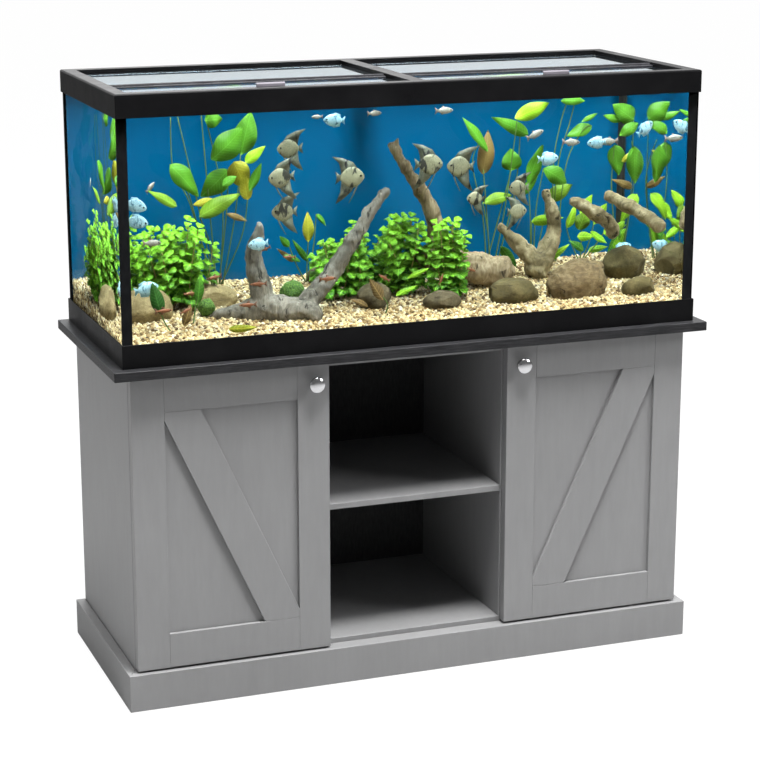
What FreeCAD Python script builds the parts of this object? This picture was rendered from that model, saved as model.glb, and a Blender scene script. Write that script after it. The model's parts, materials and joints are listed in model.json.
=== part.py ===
import FreeCAD, Part
import os
import re
import Sketcher
from FreeCAD import Placement, Rotation, Vector

# Glass aquarium on a cabinet stand with two doors.
# Frame: +Z up, -Y is the door side, X along the tank. The origin is on the floor,
# under the middle of the stand's top board.

os.makedirs("parts", exist_ok=True)
doc = FreeCAD.newDocument("aquarium_on_stand")
sheet = doc.addObject("Spreadsheet::Sheet", "Sizes")
names = set()
nodes = []


# ------------------------------------------------------------------ sheet and binding
def put(name, number):
    """Adds one named number to the sheet."""
    row = len(names) + 1
    sheet.set(f"A{row}", name)
    sheet.set(f"B{row}", str(number))
    sheet.setAlias(f"B{row}", name)
    names.add(name)


def formula(text):
    """Turns the sheet names in a text into references to the sheet's cells."""
    return re.sub(r"[a-z][a-z_0-9]*", lambda m: f"Sizes.{m[0]}" if m[0] in names else m[0], str(text))


def number(text):
    """Works out a text of sheet names."""
    return float(sheet.evalExpression(formula(text)))


def place(thing, x, y, z, rotation=None):
    """Puts an object at a point given by three texts."""
    if rotation:
        thing.Placement = Placement(Vector(), rotation)
    for axis, text in zip("xyz", (x, y, z)):
        thing.setExpression(f"Placement.Base.{axis}", formula(text))
    return thing


def keep(thing):
    """Marks an object as one of the sub-parts."""
    nodes.append(thing)
    return thing


# ------------------------------------------------------------------ primitives
def box(label, size, at):
    """A rectangular board; size and at are three texts each."""
    thing = doc.addObject("Part::Box", label)
    for side, text in zip(("Length", "Width", "Height"), size):
        thing.setExpression(side, formula(text))
    return place(thing, *at)


def rod(label, radius, length, at, rotation=None):
    """A cylinder along its own Z axis."""
    thing = doc.addObject("Part::Cylinder", label)
    thing.setExpression("Radius", formula(radius))
    thing.setExpression("Height", formula(length))
    return place(thing, *at, rotation)


def fuse(label, shapes):
    thing = doc.addObject("Part::MultiFuse", label)
    thing.Shapes = shapes
    return thing


def cut(label, base, tools):
    """The base with the tools taken out."""
    thing = doc.addObject("Part::Cut", label)
    thing.Base = base
    thing.Tool = tools[0] if len(tools) == 1 else fuse(label + "_tools", tools)
    return thing


def group(label, shapes):
    """Several separate solids in one node."""
    thing = doc.addObject("Part::Compound", label)
    thing.Links = shapes
    return thing


# ------------------------------------------------------------------ sketched bodies
def plane(body, role):
    return next(f for f in body.Origin.OriginFeatures if f.Role == role)


def sketch_on(body, role, name, offset="0"):
    """A sketch on one of the body's origin planes, moved along its normal."""
    sketch = body.newObject("Sketcher::SketchObject", name)
    sketch.AttachmentSupport = [(plane(body, role), "")]
    sketch.MapMode = "FlatFace"
    sketch.setExpression("AttachmentOffset.Base.z", formula(offset))
    return sketch


def pin_point(sketch, line, x, y):
    """Holds a line's start point at x, y from the sketch's origin."""
    for kind, text in (("X", x), ("Y", y)):
        index = sketch.addConstraint(Sketcher.Constraint(f"Distance{kind}", -1, 1, line, 1, number(text)))
        sketch.renameConstraint(index, f"{kind}{line}")
        sketch.setExpression(f"Constraints.{kind}{line}", formula(text))


def outline(sketch, points):
    """A closed outline through points, each a pair of texts."""
    first = sketch.GeometryCount
    spots = [Vector(number(x), number(y), 0) for x, y in points]
    for start, end in zip(spots, spots[1:] + spots[:1]):
        sketch.addGeometry(Part.LineSegment(start, end))
    for i in range(len(points)):
        after = first + (i + 1) % len(points)
        sketch.addConstraint(Sketcher.Constraint("Coincident", first + i, 2, after, 1))
        pin_point(sketch, first + i, *points[i])


def rectangle(sketch, left, low, right, high):
    outline(sketch, [(left, low), (right, low), (right, high), (left, high)])


def prism(label, role, points, length, at, rotation=None):
    """A body with one padded outline."""
    body = doc.addObject("PartDesign::Body", label)
    sketch = sketch_on(body, role, label + "_outline")
    outline(sketch, points)
    pad = body.newObject("PartDesign::Pad", label + "_pad")
    pad.Profile = sketch
    pad.setExpression("Length", formula(length))
    return place(body, *at, rotation)


def pocket(body, name, rectangles, level, depth, upward):
    """Cuts rectangular pockets into a body from the level, up or down by depth."""
    sketch = sketch_on(body, "XY_Plane", name + "_outline", level)
    for corners in rectangles:
        rectangle(sketch, *corners)
    doc.recompute()
    before = body.Shape.Volume
    feature = body.newObject("PartDesign::Pocket", name)
    feature.Profile = sketch
    feature.setExpression("Length", formula(depth))
    feature.Reversed = upward
    doc.recompute()
    if not body.Shape.Volume < before - 1:
        raise RuntimeError(f"{name} cuts nothing")


# ------------------------------------------------------------------ driving sizes, mm
for name, size in {
    # stand, outside
    "top_length": 1276, "top_depth": 500, "top_thick": 19, "stand_height": 706,
    "carcass_length": 1200, "carcass_front": -194, "carcass_back": 250,
    "plinth_length": 1241, "plinth_front": -227, "plinth_height": 77, "plinth_thick": 20,
    # boards
    "side_thick": 16, "divider_thick": 18, "divider_inner": 192, "floor_thick": 15,
    "floor_top": 87.5, "shelf_thick": 13, "shelf_top": 379, "shelf_gap": 0.5,
    "rail_thick": 18, "rail_width": 90, "back_thick": 6, "back_inset": 3,
    "hose_cut_width": 170, "hose_cut_height": 120, "hose_cut_low": 470,
    "support_thick": 18, "support_length": 400, "pin_radius": 2.5, "pin_length": 22,
    "pin_inset": 45, "screw_radius": 2.2, "screw_length": 30, "screw_head_radius": 4.2,
    "screw_head": 2.5, "screw_spacing": 380, "screw_inset": 45,
    # doors
    "door_front": -218, "door_thick": 21, "door_inner": 194, "door_low": 81.5,
    "door_high": 683, "stile_width": 66, "rail_height": 71.5, "panel_thick": 6,
    "panel_set_back": 8, "groove_deep": 8, "groove_play": 0.3, "brace_width": 74,
    "brace_corner": 18, "knob_x": 225, "knob_z": 643,
    "knob_head": 16.5, "knob_neck": 6, "knob_reach": 25, "knob_shank_radius": 2,
    "knob_shank_length": 14, "knob_bore_radius": 2.05, "panel_play": 0.5,
    "cup_radius": 17.5, "cup_depth": 11, "cup_wall": 1.2, "cup_inset": 22.5,
    "cup_flange": 1.5, "cup_low": 180, "cup_high": 585, "arm_width": 12,
    "arm_length": 62, "arm_height": 9, "plate_thick": 2, "plate_width": 44,
    "plate_length": 34, "plate_set_back": 20,
    # tank
    "tank_length": 1232, "tank_front": -228.5, "tank_back": 241.5, "tank_height": 527,
    "base_skirt": 47, "top_skirt": 46, "skirt_wall": 3, "glass_play": 0.5,
    "base_ledge": 15, "base_ledge_width": 26, "glass_thick": 10, "bond": 1,
    "seal_leg": 9, "rim_width": 28, "rim_deep": 15, "lid_recess": 12,
    "lid_ledge": 12, "brace_half": 15, "rim_round": 4, "film_thick": 0.4,
    "film_margin": 2, "gravel_front": 752, "gravel_back": 800,
    # glass canopies
    "lid_play": 1.5, "lid_glass": 4, "hinge_y": -52, "hinge_half": 9,
    "hinge_lift": 3, "lip_thick": 2.5, "lip_reach": 7, "knuckle_radius": 3,
    "hinge_pin_radius": 1.25, "hinge_bore_radius": 1.3, "leaf_gap": 3.6, "knuckle_play": 0.4,
    "knuckle_count": 7, "strip_depth": 44, "strip_thick": 3, "tab_width": 58,
    "tab_height": 15, "tab_thick": 2.4, "tab_foot": 14,
}.items():
    put(name, size)

# worked out from the driving sizes
for name, text in {
    "top_low": "stand_height - top_thick",
    "side_inner": "carcass_length / 2 - side_thick",
    "divider_outer": "divider_inner + divider_thick",
    "floor_low": "floor_top - floor_thick",
    "rail_low": "top_low - rail_thick",
    "back_front": "carcass_back - back_inset - back_thick",
    "door_back": "door_front + door_thick",
    "door_outer": "carcass_length / 2",
    "door_width": "door_outer - door_inner",
    "opening_width": "door_width - 2 * stile_width",
    "opening_low": "door_low + rail_height",
    "opening_high": "door_high - rail_height",
    "tank_top": "stand_height + tank_height",
    "glass_length": "tank_length - 2 * skirt_wall - 2 * glass_play",
    "glass_front": "tank_front + skirt_wall + glass_play",
    "glass_back": "tank_back - skirt_wall - glass_play",
    "glass_low": "stand_height + base_ledge",
    "glass_high": "tank_top - rim_deep",
    "glass_inner": "glass_length / 2 - glass_thick",
    "water_front": "glass_front + glass_thick",
    "water_back": "glass_back - glass_thick",
    "lid_low": "tank_top - lid_recess",
    "lid_high": "lid_low + lid_glass",
    "hinge_z": "lid_high + hinge_lift",
    "recess_outer": "tank_length / 2 - rim_width",
    "recess_front": "tank_front + rim_width",
    "recess_back": "tank_back - rim_width",
    "lid_outer": "recess_outer - lid_play",
    "lid_inner": "brace_half + lid_play",
    "lid_width": "lid_outer - lid_inner",
    "lid_front": "recess_front + lid_play",
    "lid_back": "recess_back - lid_play",
}.items():
    put(name, "=" + text)

# stones, moss and plants: name, centre and half sizes
ROUNDED = {
    "river_stones": [
        ("stone_left", (-530, -20, 785), (58, 48, 45)),
        ("stone_tan", (-388, 45, 785), (62, 38, 34)),
        ("stone_middle", (-60, -72, 783), (38, 32, 32)),
        ("stone_rear", (-111, 150, 800), (36, 28, 30)),
        ("stone_flat", (78, -115, 772), (42, 28, 24)),
        ("stone_centre", (240, -105, 775), (58, 38, 34)),
        ("stone_right", (524, -125, 768), (40, 30, 26)),
        ("stone_green", (540, 20, 798), (50, 40, 42)),
    ],
    "moss_balls": [
        ("moss_large", (-222, -20, 796), (26, 26, 26)),
        ("moss_small", (-410, -48, 786), (18, 16, 17)),
    ],
    "water_plants": [
        ("plant_bush_left", (-490, 88, 880), (70, 58, 104)),
        ("plant_tall_left", (-350, 150, 945), (58, 40, 165)),
        ("plant_bush_middle", (-30, 62, 862), (70, 48, 100)),
        ("plant_bush_right", (115, -80, 850), (40, 26, 84)),
        ("plant_lily", (300, 170, 940), (55, 33, 160)),
        ("plant_sword", (470, 168, 862), (48, 40, 76)),
        ("plant_tall_right", (560, 105, 945), (34, 40, 165)),
    ],
}
AXES = ("x", "y", "z", "half_x", "half_y", "half_z")
for rows in ROUNDED.values():
    for name, centre, halves in rows:
        for axis, size in zip(AXES, centre + halves):
            put(f"{name}_{axis}", size)
doc.recompute()


# ------------------------------------------------------------------ cabinet
def sided(label, size, x_low, y, z, side):
    """A board on the left (side -1) or right (+1); x_low is its inner face's distance from X = 0."""
    x = x_low if side > 0 else f"-({x_low}) - ({size[0]})"
    return box(label, size, (x, y, z))


SIDES = (("left", -1), ("right", 1))
FACING = Rotation(Vector(1, 0, 0), 90)  # local Z to -Y
ALONG_X = Rotation(Vector(0, 1, 0), 90)  # local Z to +X

keep(box("stand_top", ("top_length", "top_depth", "top_thick"),
         ("-top_length / 2", "-top_depth / 2", "top_low")))
for word, side in SIDES:
    keep(sided(f"{word}_side_panel", ("side_thick", "carcass_back - carcass_front", "top_low"),
               "side_inner", "carcass_front", "0", side))
    keep(sided(f"{word}_divider",
               ("divider_thick", "back_front - carcass_front", "rail_low - floor_top"),
               "divider_inner", "carcass_front", "floor_top", side))
keep(box("cabinet_floor", ("2 * side_inner", "carcass_back - carcass_front", "floor_thick"),
         ("-side_inner", "carcass_front", "floor_low")))
keep(box("centre_shelf", ("2 * (divider_inner - shelf_gap)", "back_front - carcass_front - 2",
                          "shelf_thick"),
         ("shelf_gap - divider_inner", "carcass_front", "shelf_top - shelf_thick")))

pins = []
for word, side in SIDES:
    for end, y in (("front", "carcass_front + pin_inset"), ("rear", "back_front - pin_inset")):
        x = "divider_inner - pin_length / 2" if side > 0 else "-divider_inner - pin_length / 2"
        z = "shelf_top - shelf_thick - pin_radius"
        pins.append(rod(f"{word}_{end}_pin", "pin_radius", "pin_length", (x, y, z), ALONG_X))
keep(group("shelf_pins", pins))

keep(group("top_rails", [
    box(f"{end}_top_rail", ("2 * side_inner", "rail_width", "rail_thick"),
        ("-side_inner", y, "rail_low"))
    for end, y in (("front", "carcass_front"), ("rear", "back_front - rail_width"))]))

screws = []
for i in range(8):
    across, row = i % 4, i // 4
    x = f"screw_spacing * ({across} - 1.5)"
    y = "carcass_front + screw_inset" if row == 0 else "back_front - screw_inset"
    shank = rod(f"shank_{i}", "screw_radius", "screw_length", (x, y, "rail_low"))
    head = rod(f"head_{i}", "screw_head_radius", "screw_head", (x, y, "rail_low - screw_head"))
    screws.append(fuse(f"top_screw_{i}", [shank, head]))
keep(group("top_screws", screws))

keep(box("centre_back_panel", ("2 * (divider_inner + divider_thick / 2)", "back_thick",
                               "top_low - floor_top"),
         ("-divider_inner - divider_thick / 2", "back_front", "floor_top")))
side_backs = []
for word, side in SIDES:
    width = "side_inner - divider_inner - divider_thick / 2"
    sheet_back = sided(f"{word}_back_sheet", (width, "back_thick", "top_low - floor_top"),
                       "divider_inner + divider_thick / 2", "back_front", "floor_top", side)
    middle = "(side_inner + divider_outer) / 2"
    opening = sided(f"{word}_hose_cut", ("hose_cut_width", "3 * back_thick", "hose_cut_height"),
                    f"{middle} - hose_cut_width / 2", "back_front - back_thick", "hose_cut_low", side)
    side_backs.append(cut(f"{word}_back_panel", sheet_back, [opening]))
keep(group("side_back_panels", side_backs))

# the plinth's front board has mitred ends that meet those of the side boards
half, inner = "plinth_length / 2", "plinth_length / 2 - plinth_thick"
keep(prism("front_plinth", "XY_Plane",
           [(f"-({half})", "plinth_front"), (half, "plinth_front"),
            (inner, "carcass_front"), (f"-({inner})", "carcass_front")],
           "plinth_height", ("0", "0", "0")))
side_boards = []
for word, side in SIDES:
    far, near = (half, inner) if side > 0 else (f"-({half})", f"-({inner})")
    side_boards.append(prism(
        f"{word}_plinth", "XY_Plane",
        [(far, "plinth_front"), (far, "carcass_back"), (near, "carcass_back"),
         (near, "carcass_front")],
        "plinth_height", ("0", "0", "0")))
keep(group("side_plinths", side_boards))
keep(box("rear_plinth", ("2 * side_inner", "plinth_thick", "floor_low"),
         ("-side_inner", "carcass_back - plinth_thick", "0")))
keep(group("floor_supports", [
    box(f"floor_support_{i}", ("support_thick", "support_length", "floor_low"),
        (f"{x} - support_thick / 2", "carcass_front", "0"))
    for i, x in enumerate(("-divider_inner", "0", "divider_inner"))]))


# ------------------------------------------------------------------ doors
def door(word, side):
    """Frame, panel, diagonal board, knob and hinge cups of one door."""
    def at(x):
        """A distance from X = 0 on this door's side."""
        return x if side > 0 else f"-({x})"

    groove = box(f"{word}_groove",
                 ("opening_width + 2 * groove_deep", "panel_thick + groove_play",
                  "opening_high - opening_low + 2 * groove_deep"),
                 (f"{at('(door_inner + door_outer) / 2')} - opening_width / 2 - groove_deep",
                  "door_front + panel_set_back", "opening_low - groove_deep"))
    cups = [rod(f"{word}_cup_bore_{end}", "cup_radius", "cup_depth + 1",
                (at("door_outer - cup_inset"), "door_back + 1", f"cup_{end}"), FACING)
            for end in ("low", "high")]
    stile_size = ("stile_width", "door_thick", "door_high - door_low")
    rail_size = ("opening_width", "door_thick", "rail_height")
    rail_x = "door_inner + stile_width"
    outer = sided(f"{word}_outer_board", stile_size, "door_outer - stile_width", "door_front",
                  "door_low", side)
    inner_board = sided(f"{word}_inner_board", stile_size, "door_inner", "door_front", "door_low", side)
    low = sided(f"{word}_low_board", rail_size, rail_x, "door_front", "door_low", side)
    high = sided(f"{word}_high_board", rail_size, rail_x, "door_front", "opening_high", side)
    keep(group(f"{word}_door_stiles", [
        cut(f"{word}_outer_stile", outer, [groove] + cups),
        cut(f"{word}_inner_stile", inner_board, [groove])]))
    keep(group(f"{word}_door_rails", [
        cut(f"{word}_bottom_rail", low, [groove]),
        cut(f"{word}_top_rail", high, [groove])]))
    keep(sided(f"{word}_door_panel",
               ("opening_width + 2 * (groove_deep - panel_play)", "panel_thick",
                "opening_high - opening_low + 2 * (groove_deep - panel_play)"),
               "door_inner + stile_width - groove_deep + panel_play",
               "door_front + panel_set_back + groove_play / 2", "opening_low - groove_deep + panel_play",
               side))

    # the diagonal board lies on the panel, from the outer top corner to the inner bottom one
    tall = "opening_high - opening_low"
    points = [("0", tall), ("0", f"{tall} - brace_corner"), ("opening_width - brace_width", "0"),
              ("opening_width", "0"), ("opening_width", "brace_corner"), ("brace_width", tall)]
    if side > 0:
        points = [(f"-({x})", z) for x, z in points]
    keep(prism(f"{word}_door_brace", "XZ_Plane", points, "panel_set_back",
               (at("door_outer - stile_width"), "door_front + panel_set_back", "opening_low")))

    knob = doc.addObject("PartDesign::Body", f"{word}_knob")
    profile = sketch_on(knob, "XZ_Plane", f"{word}_knob_profile")
    outline(profile, [
        ("0", "-knob_shank_length"), ("knob_shank_radius", "-knob_shank_length"),
        ("knob_shank_radius", "0"), ("knob_neck + 2", "0"), ("knob_neck + 1.5", "2"),
        ("knob_neck", "knob_reach - 12"), ("knob_head - 1.5", "knob_reach - 9"),
        ("knob_head", "knob_reach - 5.5"), ("knob_head - 3", "knob_reach - 2"),
        ("knob_head - 9", "knob_reach - 0.4"), ("0", "knob_reach")])
    turn = knob.newObject("PartDesign::Revolution", f"{word}_knob_turn")
    turn.Profile = profile
    turn.ReferenceAxis = (profile, ["V_Axis"])
    turn.Angle = 360
    keep(place(knob, at("knob_x"), "door_front", "knob_z", FACING))

    hinge_cups = []
    for end in ("low", "high"):
        x, z = at("door_outer - cup_inset"), f"cup_{end}"
        shell = rod(f"{word}_{end}_cup_shell", "cup_radius", "cup_depth", (x, "door_back", z), FACING)
        flange = box(f"{word}_{end}_cup_flange", ("2 * cup_radius", "cup_flange", "3 * cup_radius"),
                     (f"{x} - cup_radius", "door_back", f"{z} - 1.5 * cup_radius"))
        hollow = rod(f"{word}_{end}_cup_hollow", "cup_radius - cup_wall", "cup_depth + cup_flange",
                     (x, "door_back + cup_flange + cup_wall", z), FACING)
        solid = fuse(f"{word}_{end}_cup_solid", [shell, flange])
        hinge_cups.append(cut(f"{word}_{end}_cup", solid, [hollow]))
    keep(group(f"{word}_hinge_cups", hinge_cups))


for word, side in SIDES:
    door(word, side)

# the screw shank of each knob passes through its stile
for word, side in SIDES:
    stile = doc.getObject(f"{word}_inner_stile")
    x = "knob_x" if side > 0 else "-knob_x"
    bore = rod(f"{word}_knob_bore", "knob_bore_radius", "knob_shank_length + 2",
               (x, "door_front + knob_shank_length + 1", "knob_z"), FACING)
    stile.Tool = fuse(f"{word}_inner_cuts", [stile.Tool, bore])

# hinge arms stay on the side panels and reach into the cups of the closed doors
arms = []
for word, side in SIDES:
    for end in ("low", "high"):
        plate = sided(f"{word}_{end}_plate", ("plate_thick", "plate_length", "plate_width"),
                      "side_inner - plate_thick", "carcass_front + plate_set_back",
                      f"cup_{end} - plate_width / 2", side)
        arm = sided(f"{word}_{end}_arm", ("arm_height", "arm_length", "arm_width"),
                    "side_inner - plate_thick - arm_height", "door_back - 1",
                    f"cup_{end} - arm_width / 2", side)
        arms.append(fuse(f"{word}_{end}_hinge_arm", [plate, arm]))
keep(group("hinge_arms", arms))

# ------------------------------------------------------------------ tank
frame_depth = "tank_back - tank_front"
inner_x, inner_y = "tank_length - skirt_wall", f"{frame_depth} - skirt_wall"
skirt_room = ("skirt_wall", "skirt_wall", inner_x, inner_y)

base = prism("base_frame", "XY_Plane",
             [("0", "0"), ("tank_length", "0"), ("tank_length", frame_depth), ("0", frame_depth)],
             "base_skirt", ("-tank_length / 2", "tank_front", "stand_height"))
pocket(base, "base_room", [skirt_room], "base_skirt", "base_skirt - base_ledge", False)
pocket(base, "base_window",
       [("base_ledge_width", "base_ledge_width", "tank_length - base_ledge_width",
         f"{frame_depth} - base_ledge_width")], "base_ledge", "base_ledge", False)
keep(base)

top = prism("top_frame", "XY_Plane",
            [("0", "0"), ("tank_length", "0"), ("tank_length", frame_depth), ("0", frame_depth)],
            "top_skirt", ("-tank_length / 2", "tank_front", "tank_top - top_skirt"))
doc.recompute()
block = top.Tip
upper = [f"Edge{i + 1}" for i, edge in enumerate(top.Shape.Edges)
         if min(v.Z for v in edge.Vertexes) > number("tank_top") - 0.01]
soft = top.newObject("PartDesign::Fillet", "rim_rounding")
soft.Base = (block, upper)
soft.setExpression("Radius", formula("rim_round"))
doc.recompute()
pocket(top, "top_room", [skirt_room], "0", "top_skirt - rim_deep", True)
middle = "tank_length / 2"
for name, inset, level, depth in (("lid_recesses", "rim_width", "top_skirt", "lid_recess"),
                                  ("lid_windows", "rim_width + lid_ledge", "top_skirt", "top_skirt")):
    stem = "brace_half" if name == "lid_recesses" else "brace_half + lid_ledge"
    pocket(top, name,
           [(inset, inset, f"{middle} - ({stem})", f"{frame_depth} - ({inset})"),
            (f"{middle} + {stem}", inset, f"tank_length - ({inset})", f"{frame_depth} - ({inset})")],
           level, depth, False)
keep(top)

pane_height = "glass_high - glass_low"
keep(box("bottom_glass", ("2 * glass_inner - 1", "water_back - water_front - 1", "glass_thick"),
         ("0.5 - glass_inner", "water_front + 0.5", "glass_low")))
for label, y in (("front_glass", "glass_front"), ("back_glass", "water_back")):
    keep(box(label, ("glass_length", "glass_thick", pane_height), ("-glass_length / 2", y, "glass_low")))
for word, side in SIDES:
    keep(sided(f"{word}_glass", ("glass_thick", "water_back - water_front - 2 * bond", pane_height),
               "glass_inner", "water_front + bond", "glass_low", side))

seals = []
for word, side in SIDES:
    for end, y, inward in (("front", "water_front", "1"), ("rear", "water_back", "-1")):
        corner = [("0", "0"), ("glass_thick + seal_leg + bond", "0"), ("glass_thick", "seal_leg + bond"),
                  ("glass_thick", "bond"), ("0", "bond")]
        points = [(f"{-side} * ({px})", f"{inward} * ({py})") for px, py in corner]
        x = "glass_length / 2" if side > 0 else "-glass_length / 2"
        seals.append(prism(f"{word}_{end}_seal", "XY_Plane", points, "glass_high - glass_low - glass_thick",
                           (x, y, "glass_low + glass_thick")))
keep(group("corner_seals", seals))
keep(box("background_film",
         ("glass_length - 2 * film_margin", "film_thick", "tank_height - base_skirt - top_skirt - 1"),
         ("film_margin - glass_length / 2", "glass_back", "stand_height + base_skirt + 0.5")))


# ------------------------------------------------------------------ glass canopies
def leaf(label, direction, own, others, x):
    """One hinge leaf: a strip on the glass with every second knuckle; direction is -1 to the front."""
    def y(text):
        return f"hinge_y + {direction} * ({text})"

    lip = [(y("leaf_gap"), "lid_low + 0.2"), (y("hinge_half - 0.2"), "lid_low + 0.2"),
           (y("hinge_half - 0.2"), "lid_high"), (y("hinge_half + lip_reach"), "lid_high"),
           (y("hinge_half + lip_reach"), "lid_high + lip_thick - 1"),
           (y("hinge_half + lip_reach - 1.5"), "lid_high + lip_thick"),
           (y("leaf_gap"), "lid_high + lip_thick")]
    strip = prism(label + "_strip", "YZ_Plane", lip, "lid_width", (x, "0", "0"))
    barrels = []
    pitch = "lid_width / knuckle_count"
    for i in own:
        start = f"{x} + {pitch} * {i} + knuckle_play / 2"
        tube = rod(f"{label}_tube_{i}", "knuckle_radius", f"{pitch} - knuckle_play",
                   (start, "hinge_y", "hinge_z"), ALONG_X)
        web_y = "hinge_y" if direction > 0 else "hinge_y - leaf_gap - 1"
        web = box(f"{label}_web_{i}", (f"{pitch} - knuckle_play", "leaf_gap + 1", "1.6"),
                  (start, web_y, "hinge_z - knuckle_radius"))
        barrels += [tube, web]
    solid = fuse(label + "_solid", [strip] + barrels)
    bore = rod(label + "_bore", "hinge_bore_radius", "lid_width + 2", (f"{x} - 1", "hinge_y", "hinge_z"),
               ALONG_X)
    return keep(cut(label, solid, [bore]))


def canopy(word, side):
    """A two-piece glass lid: fixed rear pane and back strip, front pane on a strip hinge."""
    x = "lid_inner" if side > 0 else "-lid_outer"
    keep(box(f"{word}_rear_pane", ("lid_width", "lid_back - strip_depth - hinge_y - hinge_half", "lid_glass"),
             (x, "hinge_y + hinge_half", "lid_low")))
    keep(box(f"{word}_back_strip", ("lid_width", "strip_depth", "strip_thick"),
             (x, "lid_back - strip_depth", "lid_low")))
    keep(box(f"{word}_front_pane", ("lid_width", "hinge_y - hinge_half - lid_front", "lid_glass"),
             (x, "lid_front", "lid_low")))
    leaf(f"{word}_rear_leaf", 1, (0, 2, 4, 6), (1, 3, 5), x)
    leaf(f"{word}_front_leaf", -1, (1, 3, 5), (0, 2, 4, 6), x)
    keep(rod(f"{word}_hinge_pin", "hinge_pin_radius", "lid_width - 2", (f"{x} + 1", "hinge_y", "hinge_z"),
             ALONG_X))
    tab = [("0", "0"), ("tab_foot", "0"), ("tab_foot", "tab_thick"), ("tab_thick + 1.5", "tab_thick"),
           ("tab_thick", "tab_thick + 1.5"), ("tab_thick", "tab_height - 4"),
           ("tab_thick + 3.5", "tab_height - tab_thick / 2"), ("tab_thick + 2.5", "tab_height"),
           ("2", "tab_height"), ("0", "tab_height - 2.5")]
    keep(prism(f"{word}_lid_tab", "YZ_Plane", tab, "tab_width",
               (f"{x} + lid_width / 2 - tab_width / 2", "lid_front + 1", "lid_high")))


for word, side in SIDES:
    canopy(word, side)

# ------------------------------------------------------------------ aquarium layout
keep(prism("gravel_bed", "YZ_Plane",
           [("water_front + 0.3", "glass_low + glass_thick"), ("water_back - 0.3", "glass_low + glass_thick"),
            ("water_back - 0.3", "gravel_back"), ("water_front + 0.3", "gravel_front")],
           "2 * glass_inner - 0.6", ("0.3 - glass_inner", "0", "0")))

for label, rows in ROUNDED.items():
    made = []
    for name, _, _ in rows:
        ball = doc.addObject("Part::Ellipsoid", name)
        for prop, axis in (("Radius1", "half_z"), ("Radius2", "half_x"), ("Radius3", "half_y")):
            ball.setExpression(prop, formula(f"{name}_{axis}"))
        made.append(place(ball, f"{name}_x", f"{name}_y", f"{name}_z"))
    keep(group(label, made))


def wood(label, limbs):
    """Branching wood: each limb is a row of x, y, z and radius, joined by tapered lengths."""
    pieces = []
    for limb in limbs:
        spots = [(Vector(*row[:3]), row[3]) for row in limb]
        for (start, thick), (end, thin) in zip(spots, spots[1:]):
            run = end - start
            pieces.append(Part.makeSphere(thick, start))
            if abs(thick - thin) < 0.01:
                pieces.append(Part.makeCylinder(thick, run.Length, start, run))
            else:
                pieces.append(Part.makeCone(thick, thin, run.Length, start, run))
        pieces.append(Part.makeSphere(spots[-1][1], spots[-1][0]))
    thing = doc.addObject("Part::Feature", label)
    thing.Shape = pieces[0].multiFuse(pieces[1:])
    keep(thing)


wood("driftwood_left", [
    [(-378, -62, 772, 13), (-300, -85, 780, 27), (-225, -108, 774, 27), (-199, -135, 768, 20)],
    [(-300, -85, 780, 26), (-311, -76, 861, 20), (-312, -75, 901, 18), (-306, -75, 956, 7)],
    [(-225, -108, 774, 25), (-156, -76, 834, 19), (-122, -75, 884, 17), (-54, -75, 981, 13),
     (-30, -75, 1002, 8)],
])
wood("driftwood_log", [
    [(68, 20, 842, 28), (160, 22, 822, 34), (258, 20, 800, 36)],
    [(100, 20, 850, 26), (104, 15, 902, 20), (80, 8, 963, 17), (42, 0, 1020, 15), (-5, -10, 1088, 11)],
])
wood("driftwood_right", [
    [(345, 62, 790, 30), (388, 70, 868, 18), (382, 70, 923, 15), (366, 70, 962, 10)],
    [(345, 62, 812, 24), (300, 70, 858, 18), (264, 76, 893, 9)],
    [(412, 15, 946, 11), (440, 16, 932, 14), (497, 18, 893, 16), (515, 18, 868, 14)],
    [(486, -10, 957, 12), (540, -65, 922, 15), (578, -130, 893, 17)],
])
wood("tree_stump", [
    [(352, -95, 775, 44), (396, -95, 790, 52), (432, -95, 778, 40)],
])

# ------------------------------------------------------------------ checks and export
doc.recompute()
for thing in doc.Objects:
    if {"Invalid", "Error"} & set(thing.State):
        raise RuntimeError(f"{thing.Label}: {thing.State}")
total = Part.Compound([thing.Shape for thing in nodes]).BoundBox
print("nodes", len(nodes), "size", total.XLength, total.YLength, total.ZLength, total)
for thing in nodes:
    if thing.Shape.isNull() or not thing.Shape.isValid():
        raise RuntimeError(f"{thing.Label} has no valid shape")
    thing.Shape.exportStep(f"parts/{thing.Label}.step")
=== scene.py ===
"""Looks for a planted aquarium on a painted cabinet with barn doors."""

import json
import math
import random

import bmesh
import bpy
from bpy.props import FloatProperty, FloatVectorProperty, IntProperty, PointerProperty
from mathutils import Matrix, Vector, noise

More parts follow.
